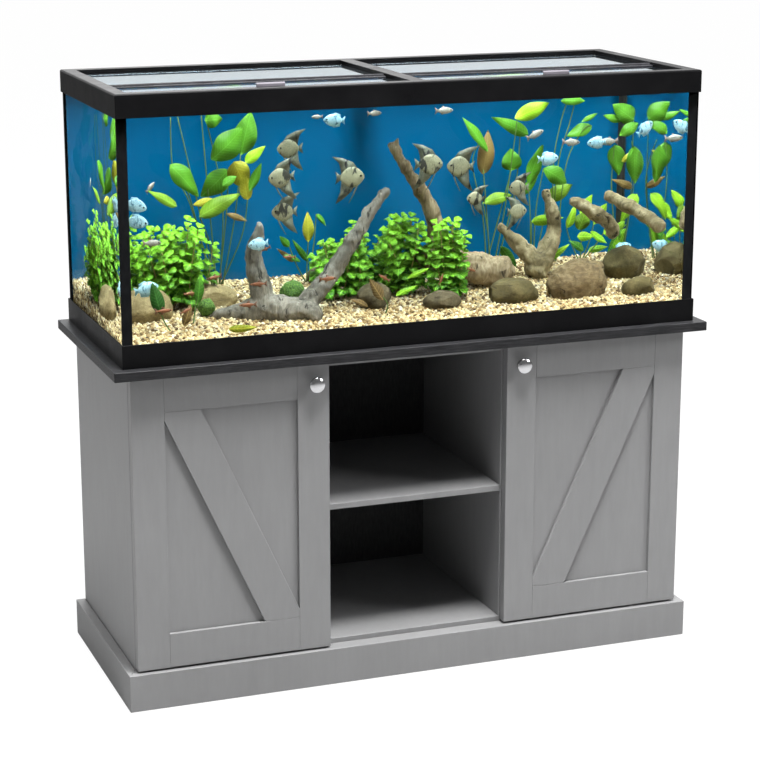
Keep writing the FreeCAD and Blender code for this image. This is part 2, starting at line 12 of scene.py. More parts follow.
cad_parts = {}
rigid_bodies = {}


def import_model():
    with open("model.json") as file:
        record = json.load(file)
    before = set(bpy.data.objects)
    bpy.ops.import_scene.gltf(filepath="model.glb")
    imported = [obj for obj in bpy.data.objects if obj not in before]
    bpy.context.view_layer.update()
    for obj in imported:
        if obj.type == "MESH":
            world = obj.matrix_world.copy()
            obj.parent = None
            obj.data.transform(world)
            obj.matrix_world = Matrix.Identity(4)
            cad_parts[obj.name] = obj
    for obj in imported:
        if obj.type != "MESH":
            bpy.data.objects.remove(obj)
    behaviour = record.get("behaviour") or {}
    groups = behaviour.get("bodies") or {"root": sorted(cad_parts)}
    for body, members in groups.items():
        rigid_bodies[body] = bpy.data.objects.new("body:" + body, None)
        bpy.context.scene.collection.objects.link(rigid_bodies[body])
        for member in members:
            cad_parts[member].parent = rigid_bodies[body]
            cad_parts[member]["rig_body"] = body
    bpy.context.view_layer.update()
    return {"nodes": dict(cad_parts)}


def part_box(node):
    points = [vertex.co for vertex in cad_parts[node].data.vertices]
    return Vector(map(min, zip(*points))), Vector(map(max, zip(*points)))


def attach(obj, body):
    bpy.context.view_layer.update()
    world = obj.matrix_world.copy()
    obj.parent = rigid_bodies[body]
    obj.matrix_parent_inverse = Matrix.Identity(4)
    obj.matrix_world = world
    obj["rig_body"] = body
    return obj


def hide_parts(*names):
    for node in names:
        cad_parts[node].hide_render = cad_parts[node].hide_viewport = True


bl_info = {
    "name": "Planted Aquarium",
    "version": (1, 0, 0),
    "blender": (4, 5, 0),
    "location": "View3D > Sidebar > Aquarium",
    "description": "Dresses the aquarium's frame with paint, glass, water, wood, plants and fish",
    "category": "Object",
}

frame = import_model()
SIDES = ("left", "right")
BED_LOW, BED_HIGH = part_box("gravel_bed")
BED_FRONT = 0.752  # height of the gravel behind the front pane
BED_PLAY = Vector((0.0052, 0.0052, 0))  # keeps the gravel off the glass
BOTTOM = 0.0103  # thickness of the bottom pane with some play above it


# ------------------------------------------------------------------ settings
def colour(name, description, default):
    return FloatVectorProperty(name=name, description=description, subtype="COLOR", size=3,
                               min=0, max=1, default=default)


def length(name, description, default):
    return FloatProperty(name=name, description=description, unit="LENGTH", min=0, default=default)


class CabinetSettings(bpy.types.PropertyGroup):
    paint: colour("Paint", "Satin paint on the boards and doors", (0.250, 0.250, 0.252))
    laminate: colour("Laminate", "Wood grain laminate of the top board", (0.014, 0.014, 0.015))
    edge: length("Edge rounding", "Radius of the painted boards' edges", 0.0012)


class TankSettings(bpy.types.PropertyGroup):
    trim: colour("Trim", "Moulded frames round the tank", (0.006, 0.006, 0.0065))
    film: colour("Background", "Film behind the tank", (0.0, 0.115, 0.255))
    level: length("Water level", "Height of the water's surface above the floor", 1.199)
    play: length("Water play", "Space between the water and the glass", 0.0003)


class GravelSettings(bpy.types.PropertyGroup):
    pebble: length("Pebble", "Mean diameter of a pebble", 0.0100)
    spacing: length("Spacing", "Least distance between two pebbles", 0.0070)
    seed: IntProperty(name="Seed", description="Order of the scattered pebbles", default=4)


class PlantSettings(bpy.types.PropertyGroup):
    # the young colour is the lighter one and the old colour the darker one: partly leaf age, partly
    # painted light high in the plant and painted shade low down
    young_and_lit: colour("Young leaves", "Leaves near the light", (0.19, 0.46, 0.013))
    old_and_shaded: colour("Old leaves", "Leaves near the gravel", (0.018, 0.10, 0.005))
    leaf: length("Round leaf", "Length of a bushy plant's leaf", 0.0225)
    seed: IntProperty(name="Seed", description="Order of the turned leaves", default=7)


class StageSettings(bpy.types.PropertyGroup):
    floor: colour("Floor", "Floor under the stand", (0.36, 0.36, 0.36))
    ambient: FloatProperty(name="Ambient", description="Light from all round the studio", min=0,
                           max=1, default=0.12)
    power: FloatProperty(name="Light", description="Strength of the studio lights", unit="POWER",
                         min=0, default=100)


# ------------------------------------------------------------------ materials
class Wire:
    """One output of a material's node. Sums and products of wires add Math nodes."""

    def __init__(self, look, socket):
        self.look, self.socket = look, socket

    def math(self, operation, other=0.0):
        return self.look.add("ShaderNodeMath", {0: self, 1: other}, operation=operation)

    def __add__(self, other):
        return self.math("ADD", other)

    def __sub__(self, other):
        return self.math("SUBTRACT", other)

    def __rsub__(self, other):
        return self.look.add("ShaderNodeMath", {0: other, 1: self}, operation="SUBTRACT")

    def __mul__(self, other):
        return self.math("MULTIPLY", other)

    __radd__ = __add__
    __rmul__ = __mul__


class Look:
    """A material, or another node tree, as it's put together."""

    def __init__(self, name, tree=None):
        self.tree = tree
        if not tree:
            self.material = bpy.data.materials.new(name)
            self.material.use_nodes = True
            self.tree = self.material.node_tree
            self.tree.nodes.clear()

    def add(self, kind, inputs=None, output=0, stops=None, **settings):
        """Adds a node: its settings first, then the values or wires of its sockets."""
        node = self.tree.nodes.new(kind)
        for key, value in settings.items():
            setattr(node, key, value)
        if stops:
            ramp = node.color_ramp
            while len(ramp.elements) < len(stops):
                ramp.elements.new(0.5)
            for element, (place, tint) in zip(ramp.elements, stops):
                element.position = place
                element.color = (*tint, 1)
        for key, value in (inputs or {}).items():
            if isinstance(value, Wire):
                self.tree.links.new(value.socket, node.inputs[key])
            else:
                node.inputs[key].default_value = value
        return Wire(self, node.outputs[output]) if node.outputs else node

    def place(self, scale=(1, 1, 1), turn=(0, 0, 0)):
        """The point on the object, stretched and turned."""
        point = self.add("ShaderNodeTexCoord", output="Object")
        return self.add("ShaderNodeMapping", {"Vector": point, "Scale": scale, "Rotation": turn})

    def noise(self, place, scale, detail=4, roughness=0.6, distortion=0):
        return self.add("ShaderNodeTexNoise", {"Vector": place, "Scale": scale, "Detail": detail,
                                               "Roughness": roughness, "Distortion": distortion})

    def cells(self, place, scale, output="Distance"):
        return self.add("ShaderNodeTexVoronoi", {"Vector": place, "Scale": scale}, output)

    def ramp(self, value, *stops):
        return self.add("ShaderNodeValToRGB", {"Fac": value}, stops=stops)

    def range(self, value, low, high, start=0.0, end=1.0):
        """A value's span from low to high carried over to start to end."""
        return self.add("ShaderNodeMapRange", {"Value": value, "From Min": low, "From Max": high,
                                               "To Min": start, "To Max": end})

    def mix(self, factor, first, second, blend="MIX"):
        colours = [c if isinstance(c, Wire) else (*c, 1) for c in (first, second)]
        return self.add("ShaderNodeMix", {0: factor, 6: colours[0], 7: colours[1]}, 2,
                        data_type="RGBA", blend_type=blend)

    def bump(self, height, distance, strength=1.0):
        return self.add("ShaderNodeBump", {"Height": height, "Distance": distance,
                                           "Strength": strength})

    def attribute(self, name):
        return self.add("ShaderNodeAttribute", output="Fac", attribute_name=name)

    def height(self, low, high):
        """0 at the low level and 1 at the high one."""
        point = self.add("ShaderNodeTexCoord", output="Object")
        level = self.add("ShaderNodeSeparateXYZ", {0: point}, "Z")
        return self.range(level, low, high)

    def in_sight(self):
        """1 for what the eye sees straight or only through clear panes, otherwise 0."""
        steps = self.add("ShaderNodeLightPath", output="Ray Depth")
        clear = self.add("ShaderNodeLightPath", output="Transmission Depth")
        return (steps - clear).math("LESS_THAN", 0.5)

    def close(self, surface):
        self.add("ShaderNodeOutputMaterial", {"Surface": surface})
        return self.material

    def skin(self, base, roughness, **sockets):
        """The usual surface; further sockets are named with underscores for spaces."""
        inputs = {"Base Color": (*base, 1) if isinstance(base, tuple) else base,
                  "Roughness": roughness}
        inputs |= {key.replace("_", " "): value for key, value in sockets.items()}
        return self.close(self.add("ShaderNodeBsdfPrincipled", inputs))


def tinted(tint, times, plus=0.0):
    return tuple(part * times + plus for part in tint)


def clear_material(name, tint, bend, roughness=0.0, mirror="none"):
    """Glass or water that lamps shine straight through; mirror is none, inside or all."""
    look = Look(name)
    sockets = {"Color": (*tint, 1), "IOR": bend, "Roughness": roughness}
    kind = "ShaderNodeBsdfGlass" if mirror == "all" else "ShaderNodeBsdfRefraction"
    body = look.add(kind, sockets)
    if mirror == "inside":
        inner = look.add("ShaderNodeNewGeometry", output="Backfacing")
        body = look.add("ShaderNodeMixShader", {
            0: inner, 1: body, 2: look.add("ShaderNodeBsdfGlass", sockets)})
    gap = look.add("ShaderNodeBsdfTransparent", {"Color": (*tint, 1)})
    lamp = look.add("ShaderNodeLightPath", output="Is Shadow Ray")
    return look.close(look.add("ShaderNodeMixShader", {0: lamp, 1: body, 2: gap}))


def paint_material(tint):
    look = Look("satin_paint")
    place = look.place()
    strokes = look.noise(look.place((1.0, 1.0, 0.16)), 60, 5, 0.65)
    cloud = look.noise(place, 3.1, 3, 0.55)
    grain = look.noise(place, 900, 3, 0.7)
    shade = look.range(strokes * 0.5 + cloud * 0.5, 0.35, 0.65, 0.93, 1.06)
    grey = look.add("ShaderNodeCombineColor", {0: shade, 1: shade, 2: shade})
    base = look.mix(1.0, tint, grey, "MULTIPLY")
    rough = look.range(grain + cloud, 0.6, 1.3, 0.36, 0.52)
    height = strokes * 0.6 + grain * 0.4
    return look.skin(base, rough, Normal=look.bump(height, 0.0004, 0.35), Specular_IOR_Level=0.42)


def laminate_material(tint):
    look = Look("black_woodgrain")
    long = look.place((0.9, 9.0, 9.0))
    pores = look.noise(look.place((2.2, 60.0, 60.0)), 9, 6, 0.7)
    rings = look.noise(long, 7, 5, 0.6, 1.6)
    lines = look.range(pores, 0.46, 0.62)
    base = look.mix(lines * 0.8, tint, tinted(tint, 3.2, 0.006))
    base = look.mix(look.range(rings, 0.4, 0.7) * 0.5, base, tinted(tint, 2.0))
    rough = look.range(lines, 0, 1, 0.36, 0.58)
    return look.skin(base, rough, Normal=look.bump(pores * 0.7 + rings * 0.3, 0.0007, 0.5),
                     Specular_IOR_Level=0.14)


def board_material():
    # painted shade: the board's near-black tone also stands in for the shade at the back of the
    # open bay
    look = Look("dark_board_with_painted_shade")
    fibre = look.noise(look.place((1, 1, 0.2)), 240, 5, 0.7)
    base = look.ramp(fibre, (0.3, (0.018, 0.018, 0.019)), (0.7, (0.045, 0.044, 0.044)))
    return look.skin(base, 0.75, Normal=look.bump(fibre, 0.0003, 0.4))


def moulded_material(name, tint, rough=0.34):
    """Injection moulded plastic with a fine spark texture and a little dust."""
    look = Look(name)
    place = look.place()
    spark = look.noise(place, 1400, 2, 0.5)
    smear = look.noise(place, 11, 5, 0.6)
    base = look.mix(look.range(smear, 0.45, 0.8) * 0.35, tint, tinted(tint, 1.9, 0.004))
    dull = look.range(smear + spark * 0.4, 0.5, 1.0, rough - 0.07, rough + 0.12)
    return look.skin(base, dull, Normal=look.bump(spark, 0.00012, 0.35), Specular_IOR_Level=0.05)


def sealant_material():
    look = Look("black_sealant")
    ripple = look.noise(look.place((1, 1, 0.3)), 180, 4, 0.6)
    base = look.mix(ripple, (0.006, 0.006, 0.007), (0.016, 0.016, 0.018))
    return look.skin(base, look.range(ripple, 0.3, 0.7, 0.28, 0.5),
                     Normal=look.bump(ripple, 0.0006, 0.5))


def metal_material(name, tint, low, high, brush=(1, 1, 1)):
    look = Look(name)
    scratch = look.noise(look.place(brush), 700, 4, 0.7)
    cloud = look.noise(look.place(), 60, 3, 0.5)
    base = look.mix(cloud * 0.4, tint, tinted(tint, 0.82))
    rough = look.range(scratch * 0.7 + cloud * 0.3, 0.35, 0.65, low, high)
    return look.skin(base, rough, Metallic=1.0, Normal=look.bump(scratch, 0.00008, 0.25))


def film_material(tint):
    look = Look("blue_film")
    cloud = look.noise(look.place(), 2.3, 3, 0.5)
    level = look.height(0.75, 1.19)
    base = look.mix(look.range(cloud * 0.35 + level * 0.65, 0.2, 0.9), tinted(tint, 0.86), tint)
    rough = look.range(cloud, 0.3, 0.7, 0.42, 0.55)
    return look.skin(base, rough, Normal=look.bump(look.noise(look.place(), 25, 2), 0.0004, 0.2),
                     Specular_IOR_Level=0.05)


def pebble_material(attributed=True):
    """Rounded gravel: cream, tan, brown and grey grains."""
    look = Look("mixed_pebbles" if attributed else "gravel_bed_top")
    place = look.place()
    if attributed:
        pick = look.attribute("grain")
    else:
        pick = look.add("ShaderNodeSeparateColor", {0: look.cells(place, 150, "Color")}, 0)
    speck = look.noise(place, 700, 3, 0.7)
    tint = look.ramp(pick, (0.0, (0.05, 0.030, 0.012)), (0.14, (0.18, 0.105, 0.040)),
                     (0.34, (0.38, 0.26, 0.11)), (0.55, (0.60, 0.46, 0.23)),
                     (0.74, (0.80, 0.67, 0.38)), (0.88, (0.24, 0.19, 0.12)),
                     (0.96, (0.88, 0.80, 0.58)))
    base = look.mix(look.range(speck, 0.4, 0.75) * 0.5, tint, (0.13, 0.085, 0.04))
    height = speck if attributed else speck * 0.15 - look.cells(place, 150) * 1.0
    return look.skin(base, look.range(speck, 0.3, 0.7, 0.5, 0.75), Specular_IOR_Level=0.2,
                     Normal=look.bump(height, 0.0006 if attributed else 0.006, 0.6))


def stone_material(name, dark, mid, light):
    look = Look(name)
    place = look.place()
    broad = look.noise(place, 22, 5, 0.6, 0.4)
    fine = look.noise(place, 240, 6, 0.75)
    veins = look.noise(look.place((1, 1, 3)), 30, 6, 0.62, 1.2)
    point = look.add("ShaderNodeNewGeometry", output="Normal")
    up = look.add("ShaderNodeSeparateXYZ", {0: point}, "Z")
    base = look.ramp(broad * 0.6 + fine * 0.4, (0.34, dark), (0.52, mid), (0.68, light))
    # painted highlight: faces that look up are mixed towards the light tone, as if lit from above
    base = look.mix(look.range(up, 0.1, 0.95) * 0.18, base, light)
    base = look.mix(look.range(veins, 0.60, 0.66) * 0.55, base, tinted(dark, 0.4))
    height = fine * 0.5 + broad * 0.6 - look.range(veins, 0.58, 0.64) * 0.3
    return look.skin(base, look.range(fine, 0.3, 0.7, 0.6, 0.85),
                     Normal=look.bump(height, 0.0022, 0.75), Specular_IOR_Level=0.15)


def wood_material(name, dark, mid, light, along=(1, 1, 0.22), turn=(0, 0, 0)):
    """Weathered wood: long fibres, cracks and pale worn ridges."""
    look = Look(name)
    fibre = look.noise(look.place(along, turn), 130, 7, 0.7, 0.8)
    crack = look.noise(look.place(along, turn), 46, 5, 0.6, 1.5)
    cloud = look.noise(look.place(), 14, 4, 0.6)
    split = look.range(crack, 0.60, 0.66)
    base = look.ramp(fibre * 0.55 + cloud * 0.45, (0.33, dark), (0.5, mid), (0.66, light))
    base = look.mix(split * 0.8, base, tinted(dark, 0.25))
    height = fibre * 0.6 - split * 0.7 + cloud * 0.3
    return look.skin(base, look.range(fibre, 0.3, 0.7, 0.62, 0.85),
                     Normal=look.bump(height, 0.003, 0.8), Specular_IOR_Level=0.15)


def moss_material():
    look = Look("moss")
    tuft = look.noise(look.place(), 320, 4, 0.7)
    base = look.ramp(tuft, (0.3, (0.010, 0.028, 0.003)), (0.5, (0.05, 0.12, 0.010)),
                     (0.72, (0.17, 0.30, 0.03)))
    return look.skin(base, 0.85, Normal=look.bump(tuft, 0.002, 0.7))


def leaf_material(name, old_and_shaded, young_and_lit, spots=0.25, level=(0.80, 1.0)):
    """Leaf: darker low in the plant and lighter near the top, partly young growth and partly
    painted shade and light; veined, with a few brown spots.
    """
    look = Look(name)
    place = look.place()
    cloud = look.noise(place, 60, 3, 0.6)
    vein = look.noise(place, 420, 4, 0.7)
    freckle = look.noise(place, 210, 4, 0.65)
    # painted shade and light: low in the plant goes towards the darker colour and high up towards
    # the lighter one, as if lit from above
    lit = look.range(cloud * 0.6 + look.height(*level) * 0.6, 0.15, 0.85)
    base = look.mix(lit, old_and_shaded, young_and_lit)
    base = look.mix(look.range(freckle, 0.64, 0.72) * spots, base, (0.22, 0.10, 0.012))
    base = look.mix(look.range(vein, 0.5, 0.8) * 0.25, base, tinted(old_and_shaded, 0.5))
    rib = look.attribute("rib")
    aside = rib.math("ABSOLUTE")
    ridge = look.attribute("run") * 0.9 - aside * 0.75
    ridge = look.range(ridge.math("SINE"), 0.72, 1.0)
    middle = look.range(aside, 0.25, 1.1, 1.0, 0.0)
    edge = look.range(aside, 6.0, 18.0)
    base = look.mix((ridge * 0.35).math("MAXIMUM", middle * 0.6), base,
                    tuple(min(1, c * 1.5 + 0.03) for c in young_and_lit))
    base = look.mix(edge * 0.35, base, old_and_shaded)
    return look.skin(base, look.range(vein, 0.3, 0.7, 0.38, 0.55), Specular_IOR_Level=0.2,
                     Normal=look.bump(vein * 0.5 + ridge * 0.6, 0.0006, 0.5))


def scale_material(name, low, high, marks=None, shine=0.30, metal=0.15):
    """Fish skin: fine scales with a sheen, and darker marks in stripes."""
    look = Look(name)
    place = look.place()
    scales = look.cells(place, 620)
    cloud = look.noise(place, 70, 3, 0.6)
    base = look.mix(look.range(scales * 0.6 + cloud * 0.6, 0.2, 0.8), low, high)
    if marks:
        tint, scale, start, end = marks
        stripe = look.noise(look.place((1.0, 1.0, 0.35)), scale, 3, 0.5, 0.6)
        base = look.mix(look.range(stripe, start, end) * 0.92, base, tint)
    return look.skin(base, look.range(scales, 0.0, 0.6, shine, shine + 0.2), Metallic=metal,
                     Normal=look.bump(scales, 0.0005, 0.4))


# ------------------------------------------------------------------ meshes
def both(*parts):
    """The names of the left and the right piece of each kind."""
    return [f"{word}_{part}" for word in SIDES for part in parts]


def baked(name, shape):
    """The mesh of a finished bmesh."""
    mesh = bpy.data.meshes.new(name)
    shape.to_mesh(mesh)
    shape.free()
    return mesh


def placed(name, data):
    """A new object in the scene, made of a mesh, a light or a camera."""
    thing = bpy.data.objects.new(name, data)
    bpy.context.scene.collection.objects.link(thing)
    return thing


def worked(thing):
    """The mesh that an object's modifiers make; the object itself goes."""
    bpy.context.view_layer.update()
    ready = thing.evaluated_get(bpy.context.evaluated_depsgraph_get())
    made = bpy.data.meshes.new_from_object(ready)
    thing.modifiers.clear()
    bpy.data.objects.remove(thing)
    return made


def shown(name, shape, material, body, slot, *nodes, smooth=True):
    """Turns a finished bmesh into a piece that rides on a body."""
    return dressed(name, baked(name, shape), material, body, slot, *nodes, smooth=smooth)


def dressed(name, mesh, material, body, slot, *nodes, smooth=True):
    """Gives a mesh its materials and makes it a piece that rides on a body."""
    thing = placed(name, mesh)
    for coat in material if isinstance(material, tuple) else (material,):
        if coat.name not in mesh.materials:
            mesh.materials.append(coat)
    mesh.polygons.foreach_set("use_smooth", [smooth] * len(mesh.polygons))
    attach(thing, body)
    if nodes:
        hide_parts(*nodes)
    return thing


def body_of(node):
    return frame["nodes"][node]["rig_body"]


def recoat(material, *nodes):
    """Gives CAD nodes whose shape is right their finish."""
    for node in nodes:
        mesh = frame["nodes"][node].data
        mesh.materials.clear()
        mesh.materials.append(material)


def rounded(node, radius, material, slot):
    """A board's own shape with its sharp edges rounded."""
    shape = bmesh.new()
    shape.from_mesh(frame["nodes"][node].data)
    bmesh.ops.remove_doubles(shape, verts=shape.verts, dist=1e-5)
    bmesh.ops.dissolve_limit(shape, angle_limit=0.01, verts=shape.verts, edges=shape.edges)
    sharp = [e for e in shape.edges if len(e.link_faces) == 2 and e.calc_face_angle(0) > 0.5]
    bmesh.ops.bevel(shape, geom=sharp, offset=radius, segments=3, profile=0.5, affect="EDGES",
                    clamp_overlap=True)
    return shown(f"{node}_board", shape, material, body_of(node), slot, node, smooth=False)


def block(name, low, high, material, body, slot, *nodes):
    """A flat-sided piece between two corners."""
    shape = bmesh.new()
    bmesh.ops.create_cube(shape, size=1)
    for vert in shape.verts:
        vert.co = Vector(h if c > 0 else l for c, l, h in zip(vert.co, low, high))
    return shown(name, shape, material, body, slot, *nodes, smooth=False)


def turns(count):
    """Even angles round a full turn."""
    return [2 * math.pi * k / count for k in range(count)]


def lofted(shape, rings):
    """Adds the faces from ring to ring and both caps to a bmesh."""
    sides, faces = len(rings[0]), []
    for low, high in zip(rings, rings[1:]):
        for k in range(sides):
            j = (k + 1) % sides
            faces.append(shape.faces.new((low[k], low[j], high[j], high[k])))
    return faces + [shape.faces.new(rings[0][::-1]), shape.faces.new(rings[-1])]


def tube(shape, path, sides=8, material=0):
    """Adds a closed tube along x, y, z, radius points to a bmesh."""
    points = [Vector(p[:3]) for p in path]
    rings, side = [], None
    for i, (point, row) in enumerate(zip(points, path)):
        along = (points[min(i + 1, len(points) - 1)] - points[max(i - 1, 0)]).normalized()
        if side is None:
            side = along.orthogonal().normalized()
        side = (side - along * side.dot(along)).normalized()
        other = along.cross(side)
        rings.append([shape.verts.new(point + row[3] * (math.cos(a) * side + math.sin(a) * other))
                      for a in turns(sides)])
    for face in lofted(shape, rings):
        face.material_index = material


def eased(rows, steps):
    """More points on a smooth line through rows of numbers."""
    made = []
    for i in range(len(rows) - 1):
        a, b, c, d = (rows[max(0, min(len(rows) - 1, i + k))] for k in (-1, 0, 1, 2))
        for step in range(steps):
            t = step / steps
            made.append(tuple(0.5 * (2 * q + (r - p) * t + (2 * p - 5 * q + 4 * r - s) * t * t
                                     + (3 * q - p - 3 * r + s) * t ** 3)
                              for p, q, r, s in zip(a, b, c, d)))
    return made + [tuple(rows[-1])]


def metres(rows):
    """Rows of millimetres in metres."""
    return [tuple(number / 1000 for number in row) for row in rows]


def roughen(shape, amount, scale, seed, octaves=4):
    """Moves a bmesh's points along their normals by noise."""
    shape.normal_update()
    shift = Vector((seed * 3.7, seed * 1.3, seed * 2.9))
    moves = [v.normal * amount * noise.fractal(v.co * scale + shift, 0.9, 2.1, octaves)
             for v in shape.verts]
    for vert, move in zip(shape.verts, moves):
        vert.co += move


def plate(shape, rim, thick, matrix, material=0):
    """Adds a thin flat fin with the given rim of x, z points."""
    front, back = ([shape.verts.new(matrix @ Vector((x, side * thick / 2, z))) for x, z in rim]
                   for side in (-1, 1))
    made = [shape.faces.new(front), shape.faces.new(back[::-1])]
    for k in range(len(rim)):
        j = (k + 1) % len(rim)
        made.append(shape.faces.new((front[j], front[k], back[k], back[j])))
    for face in made:
        face.material_index = material


# ------------------------------------------------------------------ geometry nodes
class Graph(Look):
    """A Geometry Nodes tree with named inputs."""

    def __init__(self, name, **inputs):
        self.tree = bpy.data.node_groups.new(name, "GeometryNodeTree")
        face = self.tree.interface
        face.new_socket(name="Geometry", in_out="INPUT", socket_type="NodeSocketGeometry")
        for key, kind in inputs.items():
            face.new_socket(name=key, in_out="INPUT", socket_type=f"NodeSocket{kind}")
        face.new_socket(name="Geometry", in_out="OUTPUT", socket_type="NodeSocketGeometry")
        self.source = self.tree.nodes.new("NodeGroupInput")

    def read(self, key):
        return Wire(self, self.source.outputs[key])

    def chance(self, low, high, seed, kind="FLOAT"):
        at = {"FLOAT": 2, "FLOAT_VECTOR": 0}[kind]
        return self.add("FunctionNodeRandomValue", {at: low, at + 1: high, "Seed": seed},
                        0 if kind == "FLOAT_VECTOR" else 1, data_type=kind)

    def close(self, geometry):
        self.add("NodeGroupOutput", {"Geometry": geometry})

    def run(self, mesh, **values):
        """Applies the tree to a mesh and gives the mesh it makes."""
        thing = placed("workpiece", mesh)
        modifier = thing.modifiers.new("tree", "NODES")
        modifier.node_group = self.tree
        for item in self.tree.interface.items_tree:
            if item.in_out == "INPUT" and item.name in values:
                modifier[item.identifier] = values[item.name]
        return worked(thing)


def pebble_tree():
    """Scatters rounded grains over a surface."""
    tree = Graph("pebbles", Size="Float", Spacing="Float", Seed="Int", Coat="Material")
    points = tree.add("GeometryNodeDistributePointsOnFaces", {
        "Mesh": tree.read("Geometry"), "Distance Min": tree.read("Spacing"),
        "Density Max": 60000.0, "Density Factor": 1.0, "Seed": tree.read("Seed")},
        distribute_method="POISSON")
    marked = tree.add("GeometryNodeStoreNamedAttribute", {
        "Geometry": points, "Name": "grain", "Value": tree.chance(0.0, 1.0, 3)},
        data_type="FLOAT", domain="POINT")
    grain = tree.add("GeometryNodeMeshIcoSphere", {"Radius": 0.5, "Subdivisions": 1})
    turn = tree.chance((0, 0, 0), (6.3, 6.3, 6.3), 5, "FLOAT_VECTOR")
    shape = tree.chance((0.55, 0.6, 0.45), (1.35, 1.1, 0.9), 9, "FLOAT_VECTOR")
    size = tree.add("ShaderNodeVectorMath", {0: shape, "Scale": tree.read("Size")},
                    operation="SCALE")
    spread = tree.add("GeometryNodeInstanceOnPoints", {
        "Points": marked, "Instance": grain, "Rotation": turn, "Scale": size})
    solid = tree.add("GeometryNodeRealizeInstances", {"Geometry": spread})
    tree.close(tree.add("GeometryNodeSetMaterial", {"Geometry": solid,
                                                    "Material": tree.read("Coat")}))
    return tree


def stem_tree():
    """Stems with a whorl of leaves at even steps, smaller towards the tip."""
    tree = Graph("leafy_stems", Leaves="Object", Step="Float", Stem="Float", Seed="Int",
                 Leaf_Coat="Material", Stem_Coat="Material")
    line = tree.add("GeometryNodeMeshToCurve", {"Mesh": tree.read("Geometry")})
    line = tree.add("GeometryNodeResampleCurve", {"Curve": line, "Length": tree.read("Step")},
                    mode="LENGTH")
    ring = tree.add("GeometryNodeCurvePrimitiveCircle", {"Resolution": 5,
                                                         "Radius": tree.read("Stem")})
    stems = tree.add("GeometryNodeCurveToMesh", {"Curve": line, "Profile Curve": ring,
                                                 "Fill Caps": True})
    stems = tree.add("GeometryNodeSetMaterial", {"Geometry": stems,
                                                 "Material": tree.read("Stem_Coat")})
    along = tree.add("ShaderNodeVectorMath", {0: tree.add("GeometryNodeInputTangent"),
                                              1: (0.0, -0.55, 0.0)}, operation="ADD")
    upright = tree.add("FunctionNodeAlignRotationToVector", {"Vector": along}, axis="Z")
    spin = tree.add("FunctionNodeAxisAngleToRotation", {
        "Axis": (0, 0, 1), "Angle": tree.chance(0.0, 6.28, tree.read("Seed"))})
    turn = tree.add("FunctionNodeRotateRotation", {"Rotation": upright, "Rotate By": spin},
                    rotation_space="LOCAL")
    rise = tree.add("GeometryNodeSplineParameter", output="Factor")
    size = tree.chance(0.75, 1.25, 11) * (1.15 - rise * rise * 0.45)
    leafy = tree.add("FunctionNodeCompare", {0: rise, 1: 0.12}, operation="GREATER_THAN")
    whorls = tree.add("GeometryNodeInstanceOnPoints", {
        "Points": line, "Selection": leafy,
        "Instance": tree.add("GeometryNodeObjectInfo", {"Object": tree.read("Leaves")}, "Geometry"),
        "Rotation": turn, "Scale": size})
    leaves = tree.add("GeometryNodeRealizeInstances", {"Geometry": whorls})
    leaves = tree.add("GeometryNodeSetMaterial", {"Geometry": leaves,
                                                  "Material": tree.read("Leaf_Coat")})
    join = tree.tree.nodes.new("GeometryNodeJoinGeometry")
    for part in (leaves, stems):
        tree.tree.links.new(part.socket, join.inputs[0])
    tree.close(Wire(tree, join.outputs[0]))
    return tree


# ------------------------------------------------------------------ leaves
def blade(shape, base, tip, width, facing, droop=0.0, widest=0.45, fold=0.12, steps=7, material=0):
    """A closed leaf from base to tip; facing is the way its upper side looks."""
    base, tip = Vector(base), Vector(tip)
    along = (tip - base).normalized()
    reach = (tip - base).length
    across = along.cross(Vector(facing)).normalized()
    up = across.cross(along)
    power = math.log(0.5) / math.log(widest)
    rib, run = [shape.verts.layers.float.get(word) or shape.verts.layers.float.new(word)
                for word in ("rib", "run")]
    upper, lower = [], []
    for i in range(steps + 1):
        t = i / steps
        half = width / 2 * max(0.02, math.sin(math.pi * t ** power)) ** 0.75 * (1.12 - 0.35 * t * t)
        middle = base + along * reach * t + up * droop * reach * (t * (1 - t) * 2 - t * t * 0.6)
        ripple = 0.07 * width * math.sin(11 * t + base.x * 90)
        row = [middle - across * half + up * (fold * half + ripple), middle,
               middle + across * half + up * (fold * half - ripple)]
        upper.append([shape.verts.new(p + up * 0.0002) for p in row])
        lower.append([shape.verts.new(p - up * 0.0002) for p in row])
        for rank in (upper[-1], lower[-1]):
            for vert, across_share in zip(rank, (-1, 0, 1)):
                vert[rib], vert[run] = across_share * half * 1000, t * reach * 1000
    made = []
    for i in range(steps):
        for k in (0, 1):
            made.append(shape.faces.new((upper[i][k], upper[i][k + 1], upper[i + 1][k + 1],
                                         upper[i + 1][k])))
            made.append(shape.faces.new((lower[i][k], lower[i + 1][k], lower[i + 1][k + 1],
                                         lower[i][k + 1])))
        made.append(shape.faces.new((upper[i][0], upper[i + 1][0], lower[i + 1][0], lower[i][0])))
        made.append(shape.faces.new((upper[i][2], lower[i][2], lower[i + 1][2], upper[i + 1][2])))
    for i, flip in ((0, 1), (steps, -1)):
        ring = upper[i] + lower[i][::-1]
        made.append(shape.faces.new(ring[::flip]))
    for face in made:
        face.material_index = material
    return middle


def bed_level(y):
    """Height of the gravel at a distance from the front pane."""
    share = (y - BED_LOW.y) / (BED_HIGH.y - BED_LOW.y)
    return BED_FRONT + share * (BED_HIGH.z - BED_FRONT)


# ------------------------------------------------------------------ layout, mm
TOP_EDGE = 1.3  # rounding of the top board compared with the other boards'
TRIM_EDGE, TAB_EDGE = 0.0008, 0.0005  # roundings, m
# turned knob: radius and distance out from the door's face
KNOB_PROFILE = [
    (0, -13.9), (1.95, -13.9), (1.95, -0.2), (8, 0), (7.9, 1), (7.0, 2.4), (6, 5), (5.9, 10),
    (6.3, 12.6), (8.5, 14.2), (13.5, 15.6), (15.6, 17), (16.4, 19), (16.1, 20.8), (14.6, 22.2),
    (13.6, 22.4), (12.9, 23.0), (9, 24.2), (4.5, 24.85), (0, 25),
]
